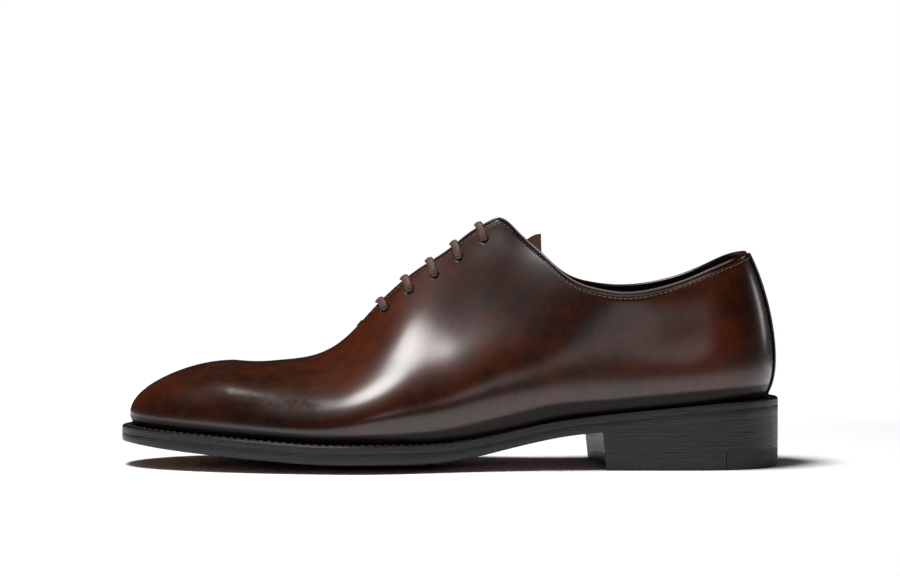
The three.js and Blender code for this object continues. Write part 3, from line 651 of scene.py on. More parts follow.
class Shader:
    """A Principled material whose nodes are added one at a time."""

    def __init__(self, name, color, roughness, **sockets):
        self.material = bpy.data.materials.new(name)
        self.material.use_nodes = True
        self.tree = self.material.node_tree
        self.surface = self.tree.nodes["Principled BSDF"]
        self.surface.inputs["Base Color"].default_value = (*color, 1)
        self.surface.inputs["Roughness"].default_value = roughness
        for socket, value in sockets.items():
            self.surface.inputs[socket.replace("_", " ")].default_value = value
        self.material.diffuse_color = (*color, 1)

    def node(self, kind, inputs=None, **settings):
        return add_node(self.tree, kind, inputs, **settings)

    def set(self, name, value):
        feed(self.tree, self.surface.inputs[name], value)

    def place(self, scale=(1, 1, 1)):
        """The piece's own coordinates in metres, stretched by scale."""
        coordinates = self.node("ShaderNodeTexCoord").outputs["Object"]
        mapping = self.node("ShaderNodeMapping", {"Vector": coordinates, "Scale": scale})
        return mapping.outputs["Vector"]

    def noise(self, scale, detail=3.0, roughness=0.5, stretch=(1, 1, 1), distortion=0.0):
        made = self.node("ShaderNodeTexNoise", {
            "Vector": self.place(stretch),
            "Scale": scale,
            "Detail": detail,
            "Roughness": roughness,
            "Distortion": distortion,
        })
        return made.outputs["Fac"]

    def cells(self, scale):
        made = self.node("ShaderNodeTexVoronoi", {"Vector": self.place(), "Scale": scale})
        return made.outputs["Distance"]

    def attribute(self, name):
        return self.node("ShaderNodeAttribute", attribute_name=name).outputs["Fac"]

    def math(self, operation, a, b=0.0, clamp=False):
        return self.node("ShaderNodeMath", {0: a, 1: b}, operation=operation, use_clamp=clamp).outputs[0]

    def spread(self, value, low, high, to_low=0.0, to_high=1.0):
        made = self.node("ShaderNodeMapRange", {
            "Value": value,
            "From Min": low,
            "From Max": high,
            "To Min": to_low,
            "To Max": to_high,
        }, interpolation_type="SMOOTHSTEP")
        return made.outputs["Result"]

    def blend(self, factor, a, b):
        colors = [color if isinstance(color, bpy.types.NodeSocket) else (*color, 1) for color in (a, b)]
        inputs = {"Factor": factor, MIX_COLOR_A: colors[0], MIX_COLOR_B: colors[1]}
        return self.node("ShaderNodeMix", inputs, data_type="RGBA").outputs[MIX_RESULT]

    def bump(self, height, strength, distance, after=None):
        inputs = {"Height": height, "Strength": strength, "Distance": distance}
        if after is not None:
            inputs["Normal"] = after
        return self.node("ShaderNodeBump", inputs).outputs["Normal"]


def srgb(red, green, blue):
    """Linear colour from the eight bit values that a screen shows."""
    def linear(value):
        share = value / 255
        return share / 12.92 if share <= 0.04045 else ((share + 0.055) / 1.055) ** 2.4

    return linear(red), linear(green), linear(blue)


def patina_leather():
    """Burnished calf: dark brown rubbed over cognac, partly painted sheen, with a fine grain under the
    polish; painted shade above the welt, along the topline and round the holes, and a painted highlight
    line on the topline bead.
    """
    shader = Shader(
        "patina_leather", srgb(60, 28, 16), 0.4,
        Coat_Roughness=0.23, Coat_IOR=1.7, Specular_IOR_Level=0.12,
    )
    clouds = shader.noise(38, detail=4, roughness=0.55, distortion=0.2)
    mottle = shader.noise(140, detail=2.5, roughness=0.5)
    wisps = shader.noise(420, detail=1.5, roughness=0.5, stretch=(1, 1, 0.45))
    cloudy = shader.spread(clouds, 0.3, 0.7, -0.16, 0.16)
    mottled = shader.spread(mottle, 0.3, 0.7, -0.13, 0.13)
    fine = shader.spread(wisps, 0.3, 0.7, -0.06, 0.06)
    uneven = shader.math("ADD", cloudy, shader.math("ADD", mottled, fine))
    # Cognac patina from the glow attribute, partly painted sheen round the main highlight
    lit = shader.math("ADD", shader.math("ADD", shader.attribute("glow"), 0.22), uneven)
    cognac = shader.spread(lit, -0.25, 1.05)
    color = shader.blend(cognac, srgb(24, 8, 2), srgb(82, 32, 5))
    dark = shader.math("MULTIPLY", shader.attribute("shade"), shader.spread(mottle, 0.2, 0.8, 0.75, 1.0))
    color = shader.blend(dark, color, srgb(15, 7, 5))
    from_edge = shader.attribute("edge")
    # Painted shade: a dark line in the groove below the topline bead and round each lace hole
    color = shader.blend(shader.spread(from_edge, 0.7, 2.2, 0.9, 0.0), color, srgb(8, 5, 5))
    # Painted highlight: a light grey line along the crest of the topline bead
    color = shader.blend(shader.spread(from_edge, 0.35, 0.65, 0.8, 0.0), color, srgb(118, 104, 96))
    # Painted shade where the upper tucks under above the welt
    color = shader.blend(shader.math("MULTIPLY", shader.attribute("seam"), 0.9), color, srgb(8, 4, 3))
    shader.set("Base Color", color)
    polish = shader.spread(shader.attribute("seam"), 0.0, 1.0, 0.85, 0.12)
    rubbed_off = shader.math("SUBTRACT", 1.0, shader.attribute("matt"), clamp=True)
    shader.set("Coat Weight", shader.math("MULTIPLY", polish, rubbed_off))
    shader.set("Roughness", shader.spread(shader.noise(400, detail=4), 0.3, 0.75, 0.36, 0.5))
    grain = shader.cells(1500)
    pores = shader.noise(2600, detail=2)
    soft = shader.noise(60, detail=3)
    normal = shader.bump(soft, 0.12, 0.0006)
    normal = shader.bump(grain, 0.12, 0.00010, normal)
    normal = shader.bump(pores, 0.16, 0.00006, normal)
    shader.set("Normal", normal)
    return shader.material


def mottled(name, color, roughness, mottle, colors, relief, shine=None, **sockets):
    """A plain material. mottle is a noise's scale, detail and stretch, between a dark and a light
    colour. relief is the scale of its cells, or none for the mottle itself, strength and depth."""
    shader = Shader(name, srgb(*color), roughness, **sockets)
    scale, detail, stretch = mottle
    noise = shader.noise(scale, detail=detail, stretch=(1, 1, stretch))
    dark, light = colors
    shader.set("Base Color", shader.blend(noise, srgb(*dark), srgb(*light)))
    if shine:
        shader.set("Roughness", shader.spread(noise, 0.3, 0.7, *shine))
    cells, strength, depth = relief
    shader.set("Normal", shader.bump(shader.cells(cells) if cells else noise, strength, depth))
    return shader.material


def black_edge():
    """Dyed and waxed sole edge, with the fine level scratches that trimming leaves."""
    shader = Shader("black_edge", srgb(20, 20, 22), 0.4, Coat_Weight=0.15, Coat_Roughness=0.25)
    scratches = shader.noise(60, detail=8, roughness=0.72, stretch=(1, 1, 22))
    coarse = shader.noise(24, detail=3, stretch=(1, 1, 26))
    pale = shader.spread(scratches, 0.35, 0.65)
    shader.set("Base Color", shader.blend(pale, srgb(6, 7, 10), srgb(20, 22, 28)))
    shader.set("Roughness", shader.spread(scratches, 0.3, 0.7, 0.32, 0.55))
    normal = shader.bump(coarse, 0.5, 0.0008)
    normal = shader.bump(scratches, 0.8, 0.0008, normal)
    shader.set("Normal", normal)
    return shader.material


def sole_leather():
    shader = Shader("sole_leather", srgb(92, 52, 34), 0.5)
    fibres = shader.noise(160, detail=5)
    shader.set("Base Color", shader.blend(fibres, srgb(70, 36, 24), srgb(108, 64, 42)))
    shader.set("Roughness", shader.spread(fibres, 0.3, 0.7, 0.4, 0.58))
    shader.set("Normal", shader.bump(shader.noise(900, detail=3), 0.25, 0.0002))
    return shader.material


def lace_cotton():
    """Waxed round lace: taupe, with painted light on the ribs and painted shade between them."""
    shader = Shader("lace_cotton", srgb(88, 66, 60), 0.5)
    fibres = shader.noise(3000, detail=3)
    ribs = shader.attribute("painted_rib_light")
    # Painted light on the rib crests, painted shade between them
    color = shader.blend(shader.spread(ribs, 0.15, 0.75), srgb(44, 30, 28), srgb(122, 94, 86))
    color = shader.blend(shader.spread(fibres, 0.4, 0.7, 0.0, 0.35), color, srgb(60, 44, 42))
    shader.set("Base Color", color)
    shader.set("Roughness", shader.spread(fibres, 0.3, 0.7, 0.42, 0.6))
    shader.set("Normal", shader.bump(fibres, 0.3, 0.0001))
    return shader.material


def thread(name, light, dark):
    shader = Shader(name, light, 0.55)
    twist = shader.noise(2600, detail=2, stretch=(1, 1, 1.6))
    shader.set("Base Color", shader.blend(shader.spread(twist, 0.35, 0.65), dark, light))
    shader.set("Normal", shader.bump(twist, 0.4, 0.0001))
    return shader.material


leather = patina_leather()
tongue_calf = mottled(
    "tongue_leather", (92, 46, 20), 0.55, (160, 4, 1), ((40, 18, 9), (72, 34, 17)),
    (1500, 0.15, 0.0001), Specular_IOR_Level=0.15,
)
lining = mottled(
    "lining_leather", (44, 30, 58), 0.55, (90, 4, 1), ((32, 22, 44), (58, 42, 76)),
    (1200, 0.3, 0.0001), shine=(0.45, 0.62),
)
sock = mottled(
    "sock_leather", (42, 28, 54), 0.55, (70, 4, 1), ((30, 20, 42), (54, 38, 70)),
    (900, 0.3, 0.00012),
)
cut_edge = mottled(
    "cut_edge_leather", (112, 74, 48), 0.8, (900, 4, 3), ((80, 48, 30), (136, 96, 66)),
    (None, 0.4, 0.0002),
)
rubber = mottled(
    "lift_rubber", (24, 24, 25), 0.55, (700, 4, 1), ((20, 20, 21), (32, 32, 33)),
    (None, 0.2, 0.0001), shine=(0.5, 0.66),
)
strip = mottled(
    "strip_leather", (22, 13, 10), 0.3, (120, 5, 1), ((12, 8, 7), (34, 18, 12)),
    (1500, 0.15, 0.0001), shine=(0.24, 0.4), Coat_Weight=0.35, Coat_Roughness=0.16,
)
edge = black_edge()
bottom = sole_leather()
cotton = lace_cotton()
collar_thread = thread("collar_thread", srgb(128, 112, 102), srgb(70, 56, 50))
welt_thread = thread("welt_thread", srgb(74, 70, 66), srgb(30, 28, 27))
corner_thread = thread("corner_thread", srgb(14, 10, 9), srgb(6, 5, 5))
tack_thread = thread("tack_thread", srgb(40, 24, 18), srgb(16, 10, 8))

# Upper

NEAR_EDGE = np.array([0, 0.25, 0.5, 0.8, 1.1, 1.4, 1.7, 2.0, 2.3, 2.6, 2.9, 3.3, 3.8, 4.5, 5.4])
FAR_ROWS = 68
SKIN_REACH = 90


def even_rows(stations, end_levels):
    """Points of each station from its top edge down to the foot line, close together at the top."""
    samples = 160
    turn = np.arcsin(np.minimum(end_levels, 1))
    fine = np.sin(turn[:, None] * np.linspace(1, 0, samples + 1))
    fine[:, 0] = end_levels
    points = stations.points(fine)
    steps = np.linalg.norm(np.diff(points, axis=1), axis=-1)
    lengths = np.concatenate([np.zeros((len(steps), 1)), np.cumsum(steps, axis=1)], axis=1)
    rows = []
    for k in range(len(lengths)):
        rest = np.linspace(NEAR_EDGE[-1], lengths[k, -1], FAR_ROWS + 1)[1:]
        goals = np.concatenate([NEAR_EDGE, rest])
        rows.append(np.interp(goals, lengths[k], fine[k]))
    return stations.points(np.array(rows))


def skin_normals(points):
    """Outward direction at each point of the closed ring of rows, the same where points coincide."""
    ahead = np.roll(points, -1, axis=0)
    faces = np.cross(ahead[:, 1:] - points[:, :-1], ahead[:, :-1] - points[:, 1:])
    sums = np.zeros_like(points)
    for rows in (slice(0, -1), slice(1, None)):
        sums[:, rows] += faces
        sums[:, rows] += np.roll(faces, 1, axis=0)
    keys = np.round(points.reshape(-1, 3) * 500).astype(np.int64)
    _, group = np.unique(keys, axis=0, return_inverse=True)
    group = np.ravel(group)
    total = np.zeros((group.max() + 1, 3))
    np.add.at(total, group, sums.reshape(-1, 3))
    normals = unit(total[group]).reshape(points.shape)
    outward = ring.foot - ring.axis
    middle = points.shape[1] // 2
    sign = np.sign(np.sum(normals[:, middle, :2] * outward))
    return normals * sign


def upper_skins():
    collar_ends = open_levels(ring, lower=BEAD)
    slit_ends = slit_levels(ring, SLIT_HALF)
    ends = np.where(is_slit, slit_ends, np.minimum(collar_ends, slit_ends))
    ends = np.where(is_open, ends, 1.0)
    bead = mix(BEAD, SLIT_BEAD, smoothstep(ring_along, COLLAR_FRONT - BEAD_BLEND, COLLAR_FRONT))
    outer = even_rows(ring, ends)
    normals = skin_normals(outer)
    level_normals = normals.copy()
    level_normals[:, -1, 2] = 0
    level_normals[is_slit, 0, 1] = 0
    inner = outer - WALL * unit(level_normals)
    direction = np.concatenate([ring.direction, np.zeros((len(ring.direction), 1))], axis=1)
    axis = np.concatenate([ring.axis, np.zeros((len(ring.axis), 1))], axis=1)
    distance = np.sum((inner - axis[:, None]) * direction[:, None], axis=-1)
    least = np.where(is_open, SLIT_HALF, 0)[:, None]
    short = np.maximum(0, least - distance)
    short[:, 0] = 0
    inner = inner + direction[:, None] * short[..., None]
    groove = GROOVE_DEPTH * np.exp(-(((ROW_DISTANCE - GROOVE_PLACE) / GROOVE_WIDTH) ** 2))
    seam = STITCH_DENT * np.exp(-(((ROW_DISTANCE - STITCH_PLACE) / STITCH_DENT_WIDTH) ** 2))
    open_share = np.where(is_open, smoothstep(THROAT - ring_along, 0.0, DENT_START), 0)
    outer = outer - normals * (open_share[:, None] * (groove + seam)[None, :])[..., None]
    return outer, inner, normals, bead * np.where(is_open, 1, 0)


ROW_DISTANCE = np.concatenate([NEAR_EDGE, np.linspace(NEAR_EDGE[-1], SKIN_REACH, FAR_ROWS + 1)[1:]])
outer_skin, inner_skin, outer_normals, rim_bead = upper_skins()


def rim_rows():
    """The rounded edge between the outer and the inner skin."""
    outer = outer_skin[:, 0]
    inner = inner_skin[:, 0]
    middle = (outer + inner) / 2
    across = (outer - inner) / 2
    up = unit(outer_skin[:, 0] - outer_skin[:, 2])
    up = unit(up - unit(across) * np.sum(up * unit(across), axis=-1, keepdims=True))
    rows = []
    for angle in np.linspace(0, math.pi, 9):
        rows.append(middle + across * math.cos(angle) + up * (rim_bead * math.sin(angle))[:, None])
    return np.stack(rows, axis=1)


def roof_height(along, offset):
    side = np.where(offset < 0, LATERAL, MEDIAL)
    stations = side_stations(along, side)
    start = np.full(len(along), FIRST_OPEN_LEVEL)
    level = bisect(start, 1 + 0 * start, lambda value: stations.radius(value) > np.abs(offset))
    return stations.foot_height + stations.rise * level


def roof_point(along, offset):
    along, offset = np.broadcast_arrays(np.asarray(along, float), np.asarray(offset, float))
    flat_along = along.ravel()
    flat_offset = offset.ravel()
    height = roof_height(flat_along, flat_offset)
    found = np.stack([x_at(flat_along), axis_y(flat_along) + flat_offset, height], axis=-1)
    return found.reshape(along.shape + (3,))


def roof_normal(along, offset):
    share = 1 / last_length
    ahead = roof_point(along + share, offset) - roof_point(along - share, offset)
    across = roof_point(along, offset + 1) - roof_point(along, offset - 1)
    normal = unit(np.cross(ahead, across))
    return normal * np.sign(normal[..., 2:])


def hole_along(index):
    return THROAT - (FIRST_HOLE_GAP + HOLE_PITCH * index) / last_length


def hole_inset(index):
    return mix(LOW_HOLE_INSET, TOP_HOLE_INSET, index / (HOLE_COUNT - 1))


def hole_axes():
    """Centre and direction of each lace hole."""
    axes = []
    for index in range(HOLE_COUNT):
        for side in (LATERAL, MEDIAL):
            at = hole_along(index), side * hole_inset(index)
            axes.append((roof_point(*at), roof_normal(*at)))
    return axes


def tube(piece, path, wide, width, thickness, sides, values=None, swell=None):
    """A closed flat tube along a path. wide is the way that its width lies at each step."""
    forward = unit(np.gradient(path, axis=0))
    across = unit(wide - forward * np.sum(wide * forward, axis=-1, keepdims=True))
    thin = np.cross(forward, across)
    angle = np.linspace(0, 2 * math.pi, sides, endpoint=False)
    swell = np.ones((len(path), sides)) if swell is None else swell
    loops = path[:, None] + swell[..., None] * (
        across[:, None] * (width / 2 * np.cos(angle))[None, :, None]
        + thin[:, None] * (thickness / 2 * np.sin(angle))[None, :, None]
    )
    first = np.repeat(path[:1, None], sides, axis=1)
    last = np.repeat(path[-1:, None], sides, axis=1)
    piece.grid(np.concatenate([first, loops, last]), 0, wrap_columns=True, values=values)


def cut_holes(upper):
    cutter = Piece("hole_punch")
    for centre, normal in hole_axes():
        path = centre + normal * np.linspace(-3 * WALL, 3 * WALL, 5)[:, None]
        wide = np.tile(FORWARD, (len(path), 1))
        tube(cutter, path, wide, HOLE_DIAMETER, HOLE_DIAMETER, 20)
    punch = cutter.build([])
    modifier = upper.modifiers.new("holes", "BOOLEAN")
    modifier.operation = "DIFFERENCE"
    modifier.solver = "EXACT"
    modifier.object = punch
    graph = bpy.context.evaluated_depsgraph_get()
    mesh = bpy.data.meshes.new_from_object(upper.evaluated_get(graph))
    upper.modifiers.clear()
    upper.data = mesh
    bpy.data.objects.remove(punch)


def nearest_distance(points, line):
    """Distance from each point to a line of close points."""
    result = np.empty(len(points))
    for start in range(0, len(points), 4000):
        part = points[start:start + 4000]
        result[start:start + 4000] = np.sqrt(
            np.min(np.sum((part[:, None] - line[None]) ** 2, axis=-1), axis=1)
        )
    return result


# Where the polish is rubbed through to cognac, with painted sheen round the main highlight, where it is
# darkest and where it is matt:
# distance from the heel's back, height above the floor, reach along and reach up, strength
COGNAC_AND_SHEEN = [
    (32, 62, 16, 22, 0.45),
    (52, 44, 30, 8, 0.2),
    (185, 66, 26, 16, 0.38),
    (168, 92, 20, 14, 0.3),
    (205, 44, 22, 10, 0.3),
    (272, 36, 30, 6, 0.14),
    (292, 30, 12, 7, 0.08),
    (140, 50, 30, 12, 0.15),
]
SHADE = [
    (134, 84, 26, 16, 0.5),
    (110, 100, 18, 14, 0.4),
    (80, 80, 20, 10, 0.3),
    (8, 50, 10, 40, 0.3),
    (240, 26, 44, 9, 0.4),
    (282, 22, 16, 8, 0.35),
]
MATT = [
    (238, 32, 30, 8, 0.95),
    (214, 28, 16, 8, 0.5),
    (256, 34, 12, 6, 0.35),
    (160, 70, 14, 14, 0.5),
]


def soft_spots(points, spots):
    back = SOLE_LENGTH / 2 - points[:, 0]
    total = np.zeros(len(points))
    for place, height, reach_along, reach_up, strength in spots:
        bell = ((back - place) / reach_along) ** 2 + ((points[:, 2] - height) / reach_up) ** 2
        total += strength * np.exp(-bell)
    return np.clip(total, 0, 1)


# Near the heel's back the painted shade line and the painted highlight line along the topline fade out
BACK_FADE_START = 14
BACK_FADE_END = 26
BACK_FADE = 2

# Height of the painted shade above the welt, from the heel's back forward
WELT_SHADE_RISE = [
    (0, 6.5),
    (80, 7),
    (110, 8.5),
    (140, 7.5),
    (180, 5),
    (240, 4.5),
    (300, 5),
]


def welt_shade_values(points):
    """How near each point is to the seam between the upper and the welt, from 0 to 1, which sets the
    painted shade there.
    """
    back = SOLE_LENGTH / 2 - points[:, 0]
    places, rises = zip(*WELT_SHADE_RISE)
    rise = np.interp(back, places, rises)
    height = points[:, 2] - welt_top(np.clip(along_at(points[:, 0]), 0, 1))
    return 1 - smoothstep(height, 0.85 * rise, 1.2 * rise)


def from_holes(points):
    """Distance outwards from the nearest hole's wall, for points near that hole's axis."""
    nearest = np.full(len(points), np.inf)
    for centre, normal in hole_axes():
        away = points - centre
        along_axis = away @ normal
        across = np.linalg.norm(away - along_axis[:, None] * normal, axis=1)
        outside = np.where(np.abs(along_axis) < 2 * WALL, across - HOLE_DIAMETER / 2, np.inf)
        nearest = np.minimum(nearest, outside)
    return nearest


def finish_values(piece, edge_distance):
    points = mesh_points(piece)
    # seam: painted shade above the welt
    set_value(piece, "seam", welt_shade_values(points))
    # glow: cognac patina, partly painted sheen round the main highlight
    set_value(piece, "glow", soft_spots(points, COGNAC_AND_SHEEN))
    set_value(piece, "shade", soft_spots(points, SHADE))
    set_value(piece, "matt", soft_spots(points, MATT))
    at_back = smoothstep(points[:, 0], SOLE_LENGTH / 2 - BACK_FADE_END, SOLE_LENGTH / 2 - BACK_FADE_START)
    # edge: distance from the topline and the holes, which places the painted shade line and the painted
    # highlight line
    set_value(piece, "edge", edge_distance + BACK_FADE * at_back)


def make_upper():
    piece = Piece("upper_shell")
    piece.grid(outer_skin, 0, wrap_rows=True)
    last_row = len(ROW_DISTANCE) - 1
    near_rows = np.arange(0, len(NEAR_EDGE), 3)
    far_rows = np.arange(len(NEAR_EDGE) - 1, last_row + 1, 2)
    inner_rows = np.unique(np.concatenate([near_rows, far_rows, [last_row]]))
    piece.grid(inner_skin[:, inner_rows], 1, wrap_rows=True)
    piece.grid(rim_rows(), 0, wrap_rows=True)
    foot = np.stack([outer_skin[:, -1], inner_skin[:, -1]], axis=1)
    piece.grid(foot, 1, wrap_rows=True)
    upper = piece.build([leather, lining])
    cut_holes(upper)
    points = mesh_points(upper)
    from_collar = nearest_distance(points, outer_skin[is_open, 0])
    # The holes' walls count as edges, so each hole gets a ring of painted shade
    finish_values(upper, np.minimum(from_collar, BEAD + np.maximum(0, from_holes(points))))
    stand_for(upper, "patina_leather", "upper")


def path_lengths(path):
    """How far along the path each of its points lies."""
    return np.concatenate([[0], np.cumsum(np.linalg.norm(np.diff(path, axis=0), axis=-1))])


def at_lengths(at, lengths, rows):
    """Rows of three values, read at lengths along a path."""
    return np.stack([np.interp(at, lengths, rows[:, axis]) for axis in range(3)], axis=-1)


def make_stitches(name, slot, material, path, normals, pitch, length, radius):
    """A row of raised stitches, each a short rounded thread that dips at both ends."""
    lengths = path_lengths(path)
    piece = Piece(name)
    shares = np.linspace(-1, 1, 7)
    height = radius * (STITCH_STAND - STITCH_DIP * shares**4)
    thread_share = np.sqrt(np.maximum(STITCH_TIP, 1 - STITCH_TAPER * shares**4))
    swell = thread_share[:, None] * np.ones((1, STITCH_SIDES))
    for k in range(int(lengths[-1] / pitch)):
        at = (k + 0.5) * pitch + shares * length / 2
        out = unit(at_lengths(at, lengths, normals))
        points = at_lengths(at, lengths, path) + out * height[:, None]
        across = np.cross(unit(np.gradient(points, axis=0)), out)
        tube(piece, points, across, 2 * radius, 2 * radius, STITCH_SIDES, swell=swell)
    stand_for(piece.build([material], sharp_degrees=180), slot)


def collar_stitch_line():
    """The line of stitching, from the throat up one facing, round the collar, and down again."""
    row = int(np.argmin(np.abs(ROW_DISTANCE - STITCH_PLACE)))
    keep = ring_along < THROAT - 4 / last_length
    order = np.roll(np.arange(len(ring_along)), len(ring_along) // 2)
    order = order[keep[order]]
    return outer_skin[order, row], outer_normals[order, row]


make_upper()
stitch_path, stitch_normals = collar_stitch_line()
make_stitches(
    "collar_stitches", "patina_leather", collar_thread, stitch_path, stitch_normals,
    STITCH_PITCH, STITCH_LENGTH, STITCH_RADIUS,
)

# The corner of each facing is stitched through with black thread, between the light stitches.
corner_back = SOLE_LENGTH / 2 - stitch_path[:, 0]
for side, name in ((LATERAL, "corner_stitches_outer"), (MEDIAL, "corner_stitches_inner")):
    near = (corner_back > CORNER_START) & (corner_back < CORNER_END) & (side * stitch_path[:, 1] > 0)
    make_stitches(
        name, "patina_leather", corner_thread, stitch_path[near], stitch_normals[near],
        CORNER_PITCH, CORNER_LENGTH, CORNER_RADIUS,
    )

# Tongue


def tongue_depth(along):
    ramp = smoothstep((THROAT - along) * last_length, -RAMP_START, FIRST_HOLE_GAP - RAMP_END)
    past = smoothstep((COLLAR_FRONT - along) * last_length, 0, TONGUE_REACH)
    return WALL + mix(2 * FIT, LACE_ROOM, ramp) - TONGUE_LIFT * past


TONGUE_ROUND = 4
TONGUE_TOP_TRIM = 0.07
TONGUE_TOP_ROUND = 6
TONGUE_TIP_TRIM = 0.3
TONGUE_ROWS = 84
TONGUE_COLUMNS = 44


def rim_between(first, second, count):
    """Rows that join the outlines of two sheets."""
    outlines = []
    for sheet in (first, second):
        outlines.append(np.concatenate([sheet[0], sheet[1:-1, -1], sheet[-1, ::-1], sheet[-2:0:-1, 0]]))
    return np.stack([mix(*outlines, share) for share in np.linspace(0, 1, count)], axis=1)


def tongue_point(along, offset, depth):
    spread = TONGUE_ROUND * np.minimum(1, depth / WALL - 1)
    smooth = np.where(offset < 0, -1, 1) * np.hypot(offset, spread)
    normal = roof_normal(along, smooth)
    point = roof_point(along, smooth)
    point[..., 1] = axis_y(along) + offset
    point[..., 2] -= depth / normal[..., 2]
    return point


def make_tongue():
    top = COLLAR_FRONT - TONGUE_REACH / last_length
    tip = THROAT + TONGUE_TUCK / last_length
    along = np.linspace(tip, top, TONGUE_ROWS + 1)[:, None] + np.zeros((1, TONGUE_COLUMNS + 1))
    near_top = 1 - smoothstep((along[:, :1] - top) * last_length, 0, TONGUE_TOP_ROUND)
    near_tip = smoothstep(along[:, :1], THROAT, tip)
    narrow = 1 - TONGUE_TOP_TRIM * near_top - TONGUE_TIP_TRIM * near_tip
    offset = TONGUE_HALF_WIDTH * narrow * np.linspace(-1, 1, TONGUE_COLUMNS + 1)[None, :]
    depth = tongue_depth(along)
    outer = tongue_point(along, offset, depth)
    inner = outer.copy()
    off_ridge = np.where(np.abs(offset) < 0.1, 0.1, offset)
    inner[..., 2] -= TONGUE_THICKNESS / roof_normal(along, off_ridge)[..., 2]
    piece = Piece("tongue_sheet")
    piece.grid(outer, 0)
    piece.grid(inner, 1)

    piece.grid(rim_between(outer, inner, 5), 2, wrap_rows=True)
    stand_for(piece.build([tongue_calf, lining, cut_edge]), "patina_leather", "tongue")


make_tongue()

# Lace

LACE_OUT = LACE_THICKNESS / 2 + 0.08
LACE_IN = -(WALL + LACE_THICKNESS / 2 + 0.35)
RIB_PITCH = 1.0
RIB_RISE = 0.09
LACE_BEND = 1.5


def lace_swell(path, sides):
    """How the ribs of the braid stand out along the lace, and how much painted light each gets."""
    length = path_lengths(path)[:, None]
    angle = np.linspace(0, 2 * math.pi, sides, endpoint=False)[None, :]
    wave = np.cos(2 * math.pi * length / RIB_PITCH + angle) * 0.5 + 0.5
    return 1 + RIB_RISE * (wave - 0.5), wave


def lace_tube(piece, path, wide):
    sides = 20
    swell, wave = lace_swell(path, sides)
    shade = np.concatenate([wave[:1], wave, wave[-1:]])
    tube(piece, path, wide, LACE_WIDTH, LACE_THICKNESS, sides, values={"painted_rib_light": shade}, swell=swell)


def lace_point(along, offset, lift):
    return roof_point(along, offset) + roof_normal(along, offset) * np.asarray(lift)[..., None]


def resample(points, step):
    lengths = path_lengths(points)
    return at_lengths(np.linspace(0, lengths[-1], max(4, int(lengths[-1] / step))), lengths, points)


def make_bar(piece, index):
    along = hole_along(index)
    inset = hole_inset(index)
    half_flat = inset - LACE_BEND
    flat = np.linspace(-half_flat, half_flat, 41)
    turn = np.linspace(0, math.pi / 2, 9)[1:]
    corner = half_flat + LACE_BEND * np.sin(turn)
    drop = LACE_OUT - LACE_BEND * (1 - np.cos(turn))
    down = np.linspace(drop[-1], LACE_IN, 7)[1:]
    half_offset = np.concatenate([corner, 0 * down + inset])
    half_lift = np.concatenate([drop, down])
    offset = np.concatenate([-half_offset[::-1], flat, half_offset])
    lift = np.concatenate([half_lift[::-1], 0 * flat + LACE_OUT, half_lift])
    lean = LACE_LEAN / last_length * (1 - np.abs(offset) / inset)
    path = resample(lace_point(along + lean, offset, lift), 0.3)
    reach = 3 / last_length
    wide = unit(roof_point(along - reach, 0.0) - roof_point(along + reach, 0.0))
    lace_tube(piece, path, np.tile(wide, (len(path), 1)))


def make_run(piece, side, start, end):
    steps = 24
    along = np.linspace(hole_along(start), hole_along(end), steps)
    offset = side * np.linspace(hole_inset(start), hole_inset(end), steps)
    path = resample(lace_point(along, offset, np.full(steps, LACE_IN)), 0.4)
    middle = steps // 2
    across = roof_point(along[middle], offset[middle] + 1) - roof_point(along[middle], offset[middle] - 1)
    lace_tube(piece, path, np.tile(unit(across), (len(path), 1)))


def make_lace():
    piece = Piece("lace_braid")
    for index in range(HOLE_COUNT):
        make_bar(piece, index)
    for side, start, end in ((LATERAL, 0, 2), (MEDIAL, 2, 4), (MEDIAL, 0, 1), (LATERAL, 1, 3)):
        make_run(piece, side, start, end)
    stand_for(piece.build([cotton], sharp_degrees=180), "lace_cotton", "lace")


make_lace()


def make_bar_tack():
    """Close stitches across the foot of the slit."""
    piece = Piece("bar_tack")
    for k in range(TACK_COUNT):
        along = THROAT + (TACK_START - TACK_PITCH * k) / last_length
        shares = np.linspace(-1, 1, 13)
        lift = TACK_STAND - TACK_DIP * shares**6
        path = lace_point(along + 0 * shares, TACK_HALF * shares, lift)
        tube(piece, path, np.tile(FORWARD, (len(path), 1)), TACK_THREAD, TACK_THREAD, STITCH_SIDES)
    stand_for(piece.build([tack_thread], sharp_degrees=180), "patina_leather")


make_bar_tack()

# Sole


def share_of(places):
    full = np.linalg.norm(sole_edge - ring.axis, axis=-1)
    return np.linalg.norm(places - ring.axis, axis=-1) / full


def loop_at(places, height, rise=0.0):
    """Points over places, at a height that depends on the way along and out."""
    along = np.clip(along_at(places[:, 0]), 0, 1)
    return np.concatenate([places, (height(along, share_of(places)) + rise)[:, None]], axis=1)


def towards_axis(places, share):
    return mix(ring.axis, places, share)


def even_top(along, share):
    return welt_top(along)


def sole_edge_loops(bevel):
    """The edge from the underside up: a bevel, then a wall that swells a little, to the top."""
    low = underside_height
    thickness = SOLE_THICKNESS * thick_curve(np.clip(foot_along, 0, 1))
    return [
        loop_at(edge_place(bevel), low),
        loop_at(edge_place(0.35 * bevel), low, 0.35 * bevel),
        loop_at(edge_place(0), low, bevel),
        loop_at(edge_place(-SOLE_SWELL), low, 0.55 * thickness),
        loop_at(edge_place(0), sole_top, -SOLE_ROUND),
        loop_at(edge_place(SOLE_ROUND), sole_top),
    ]


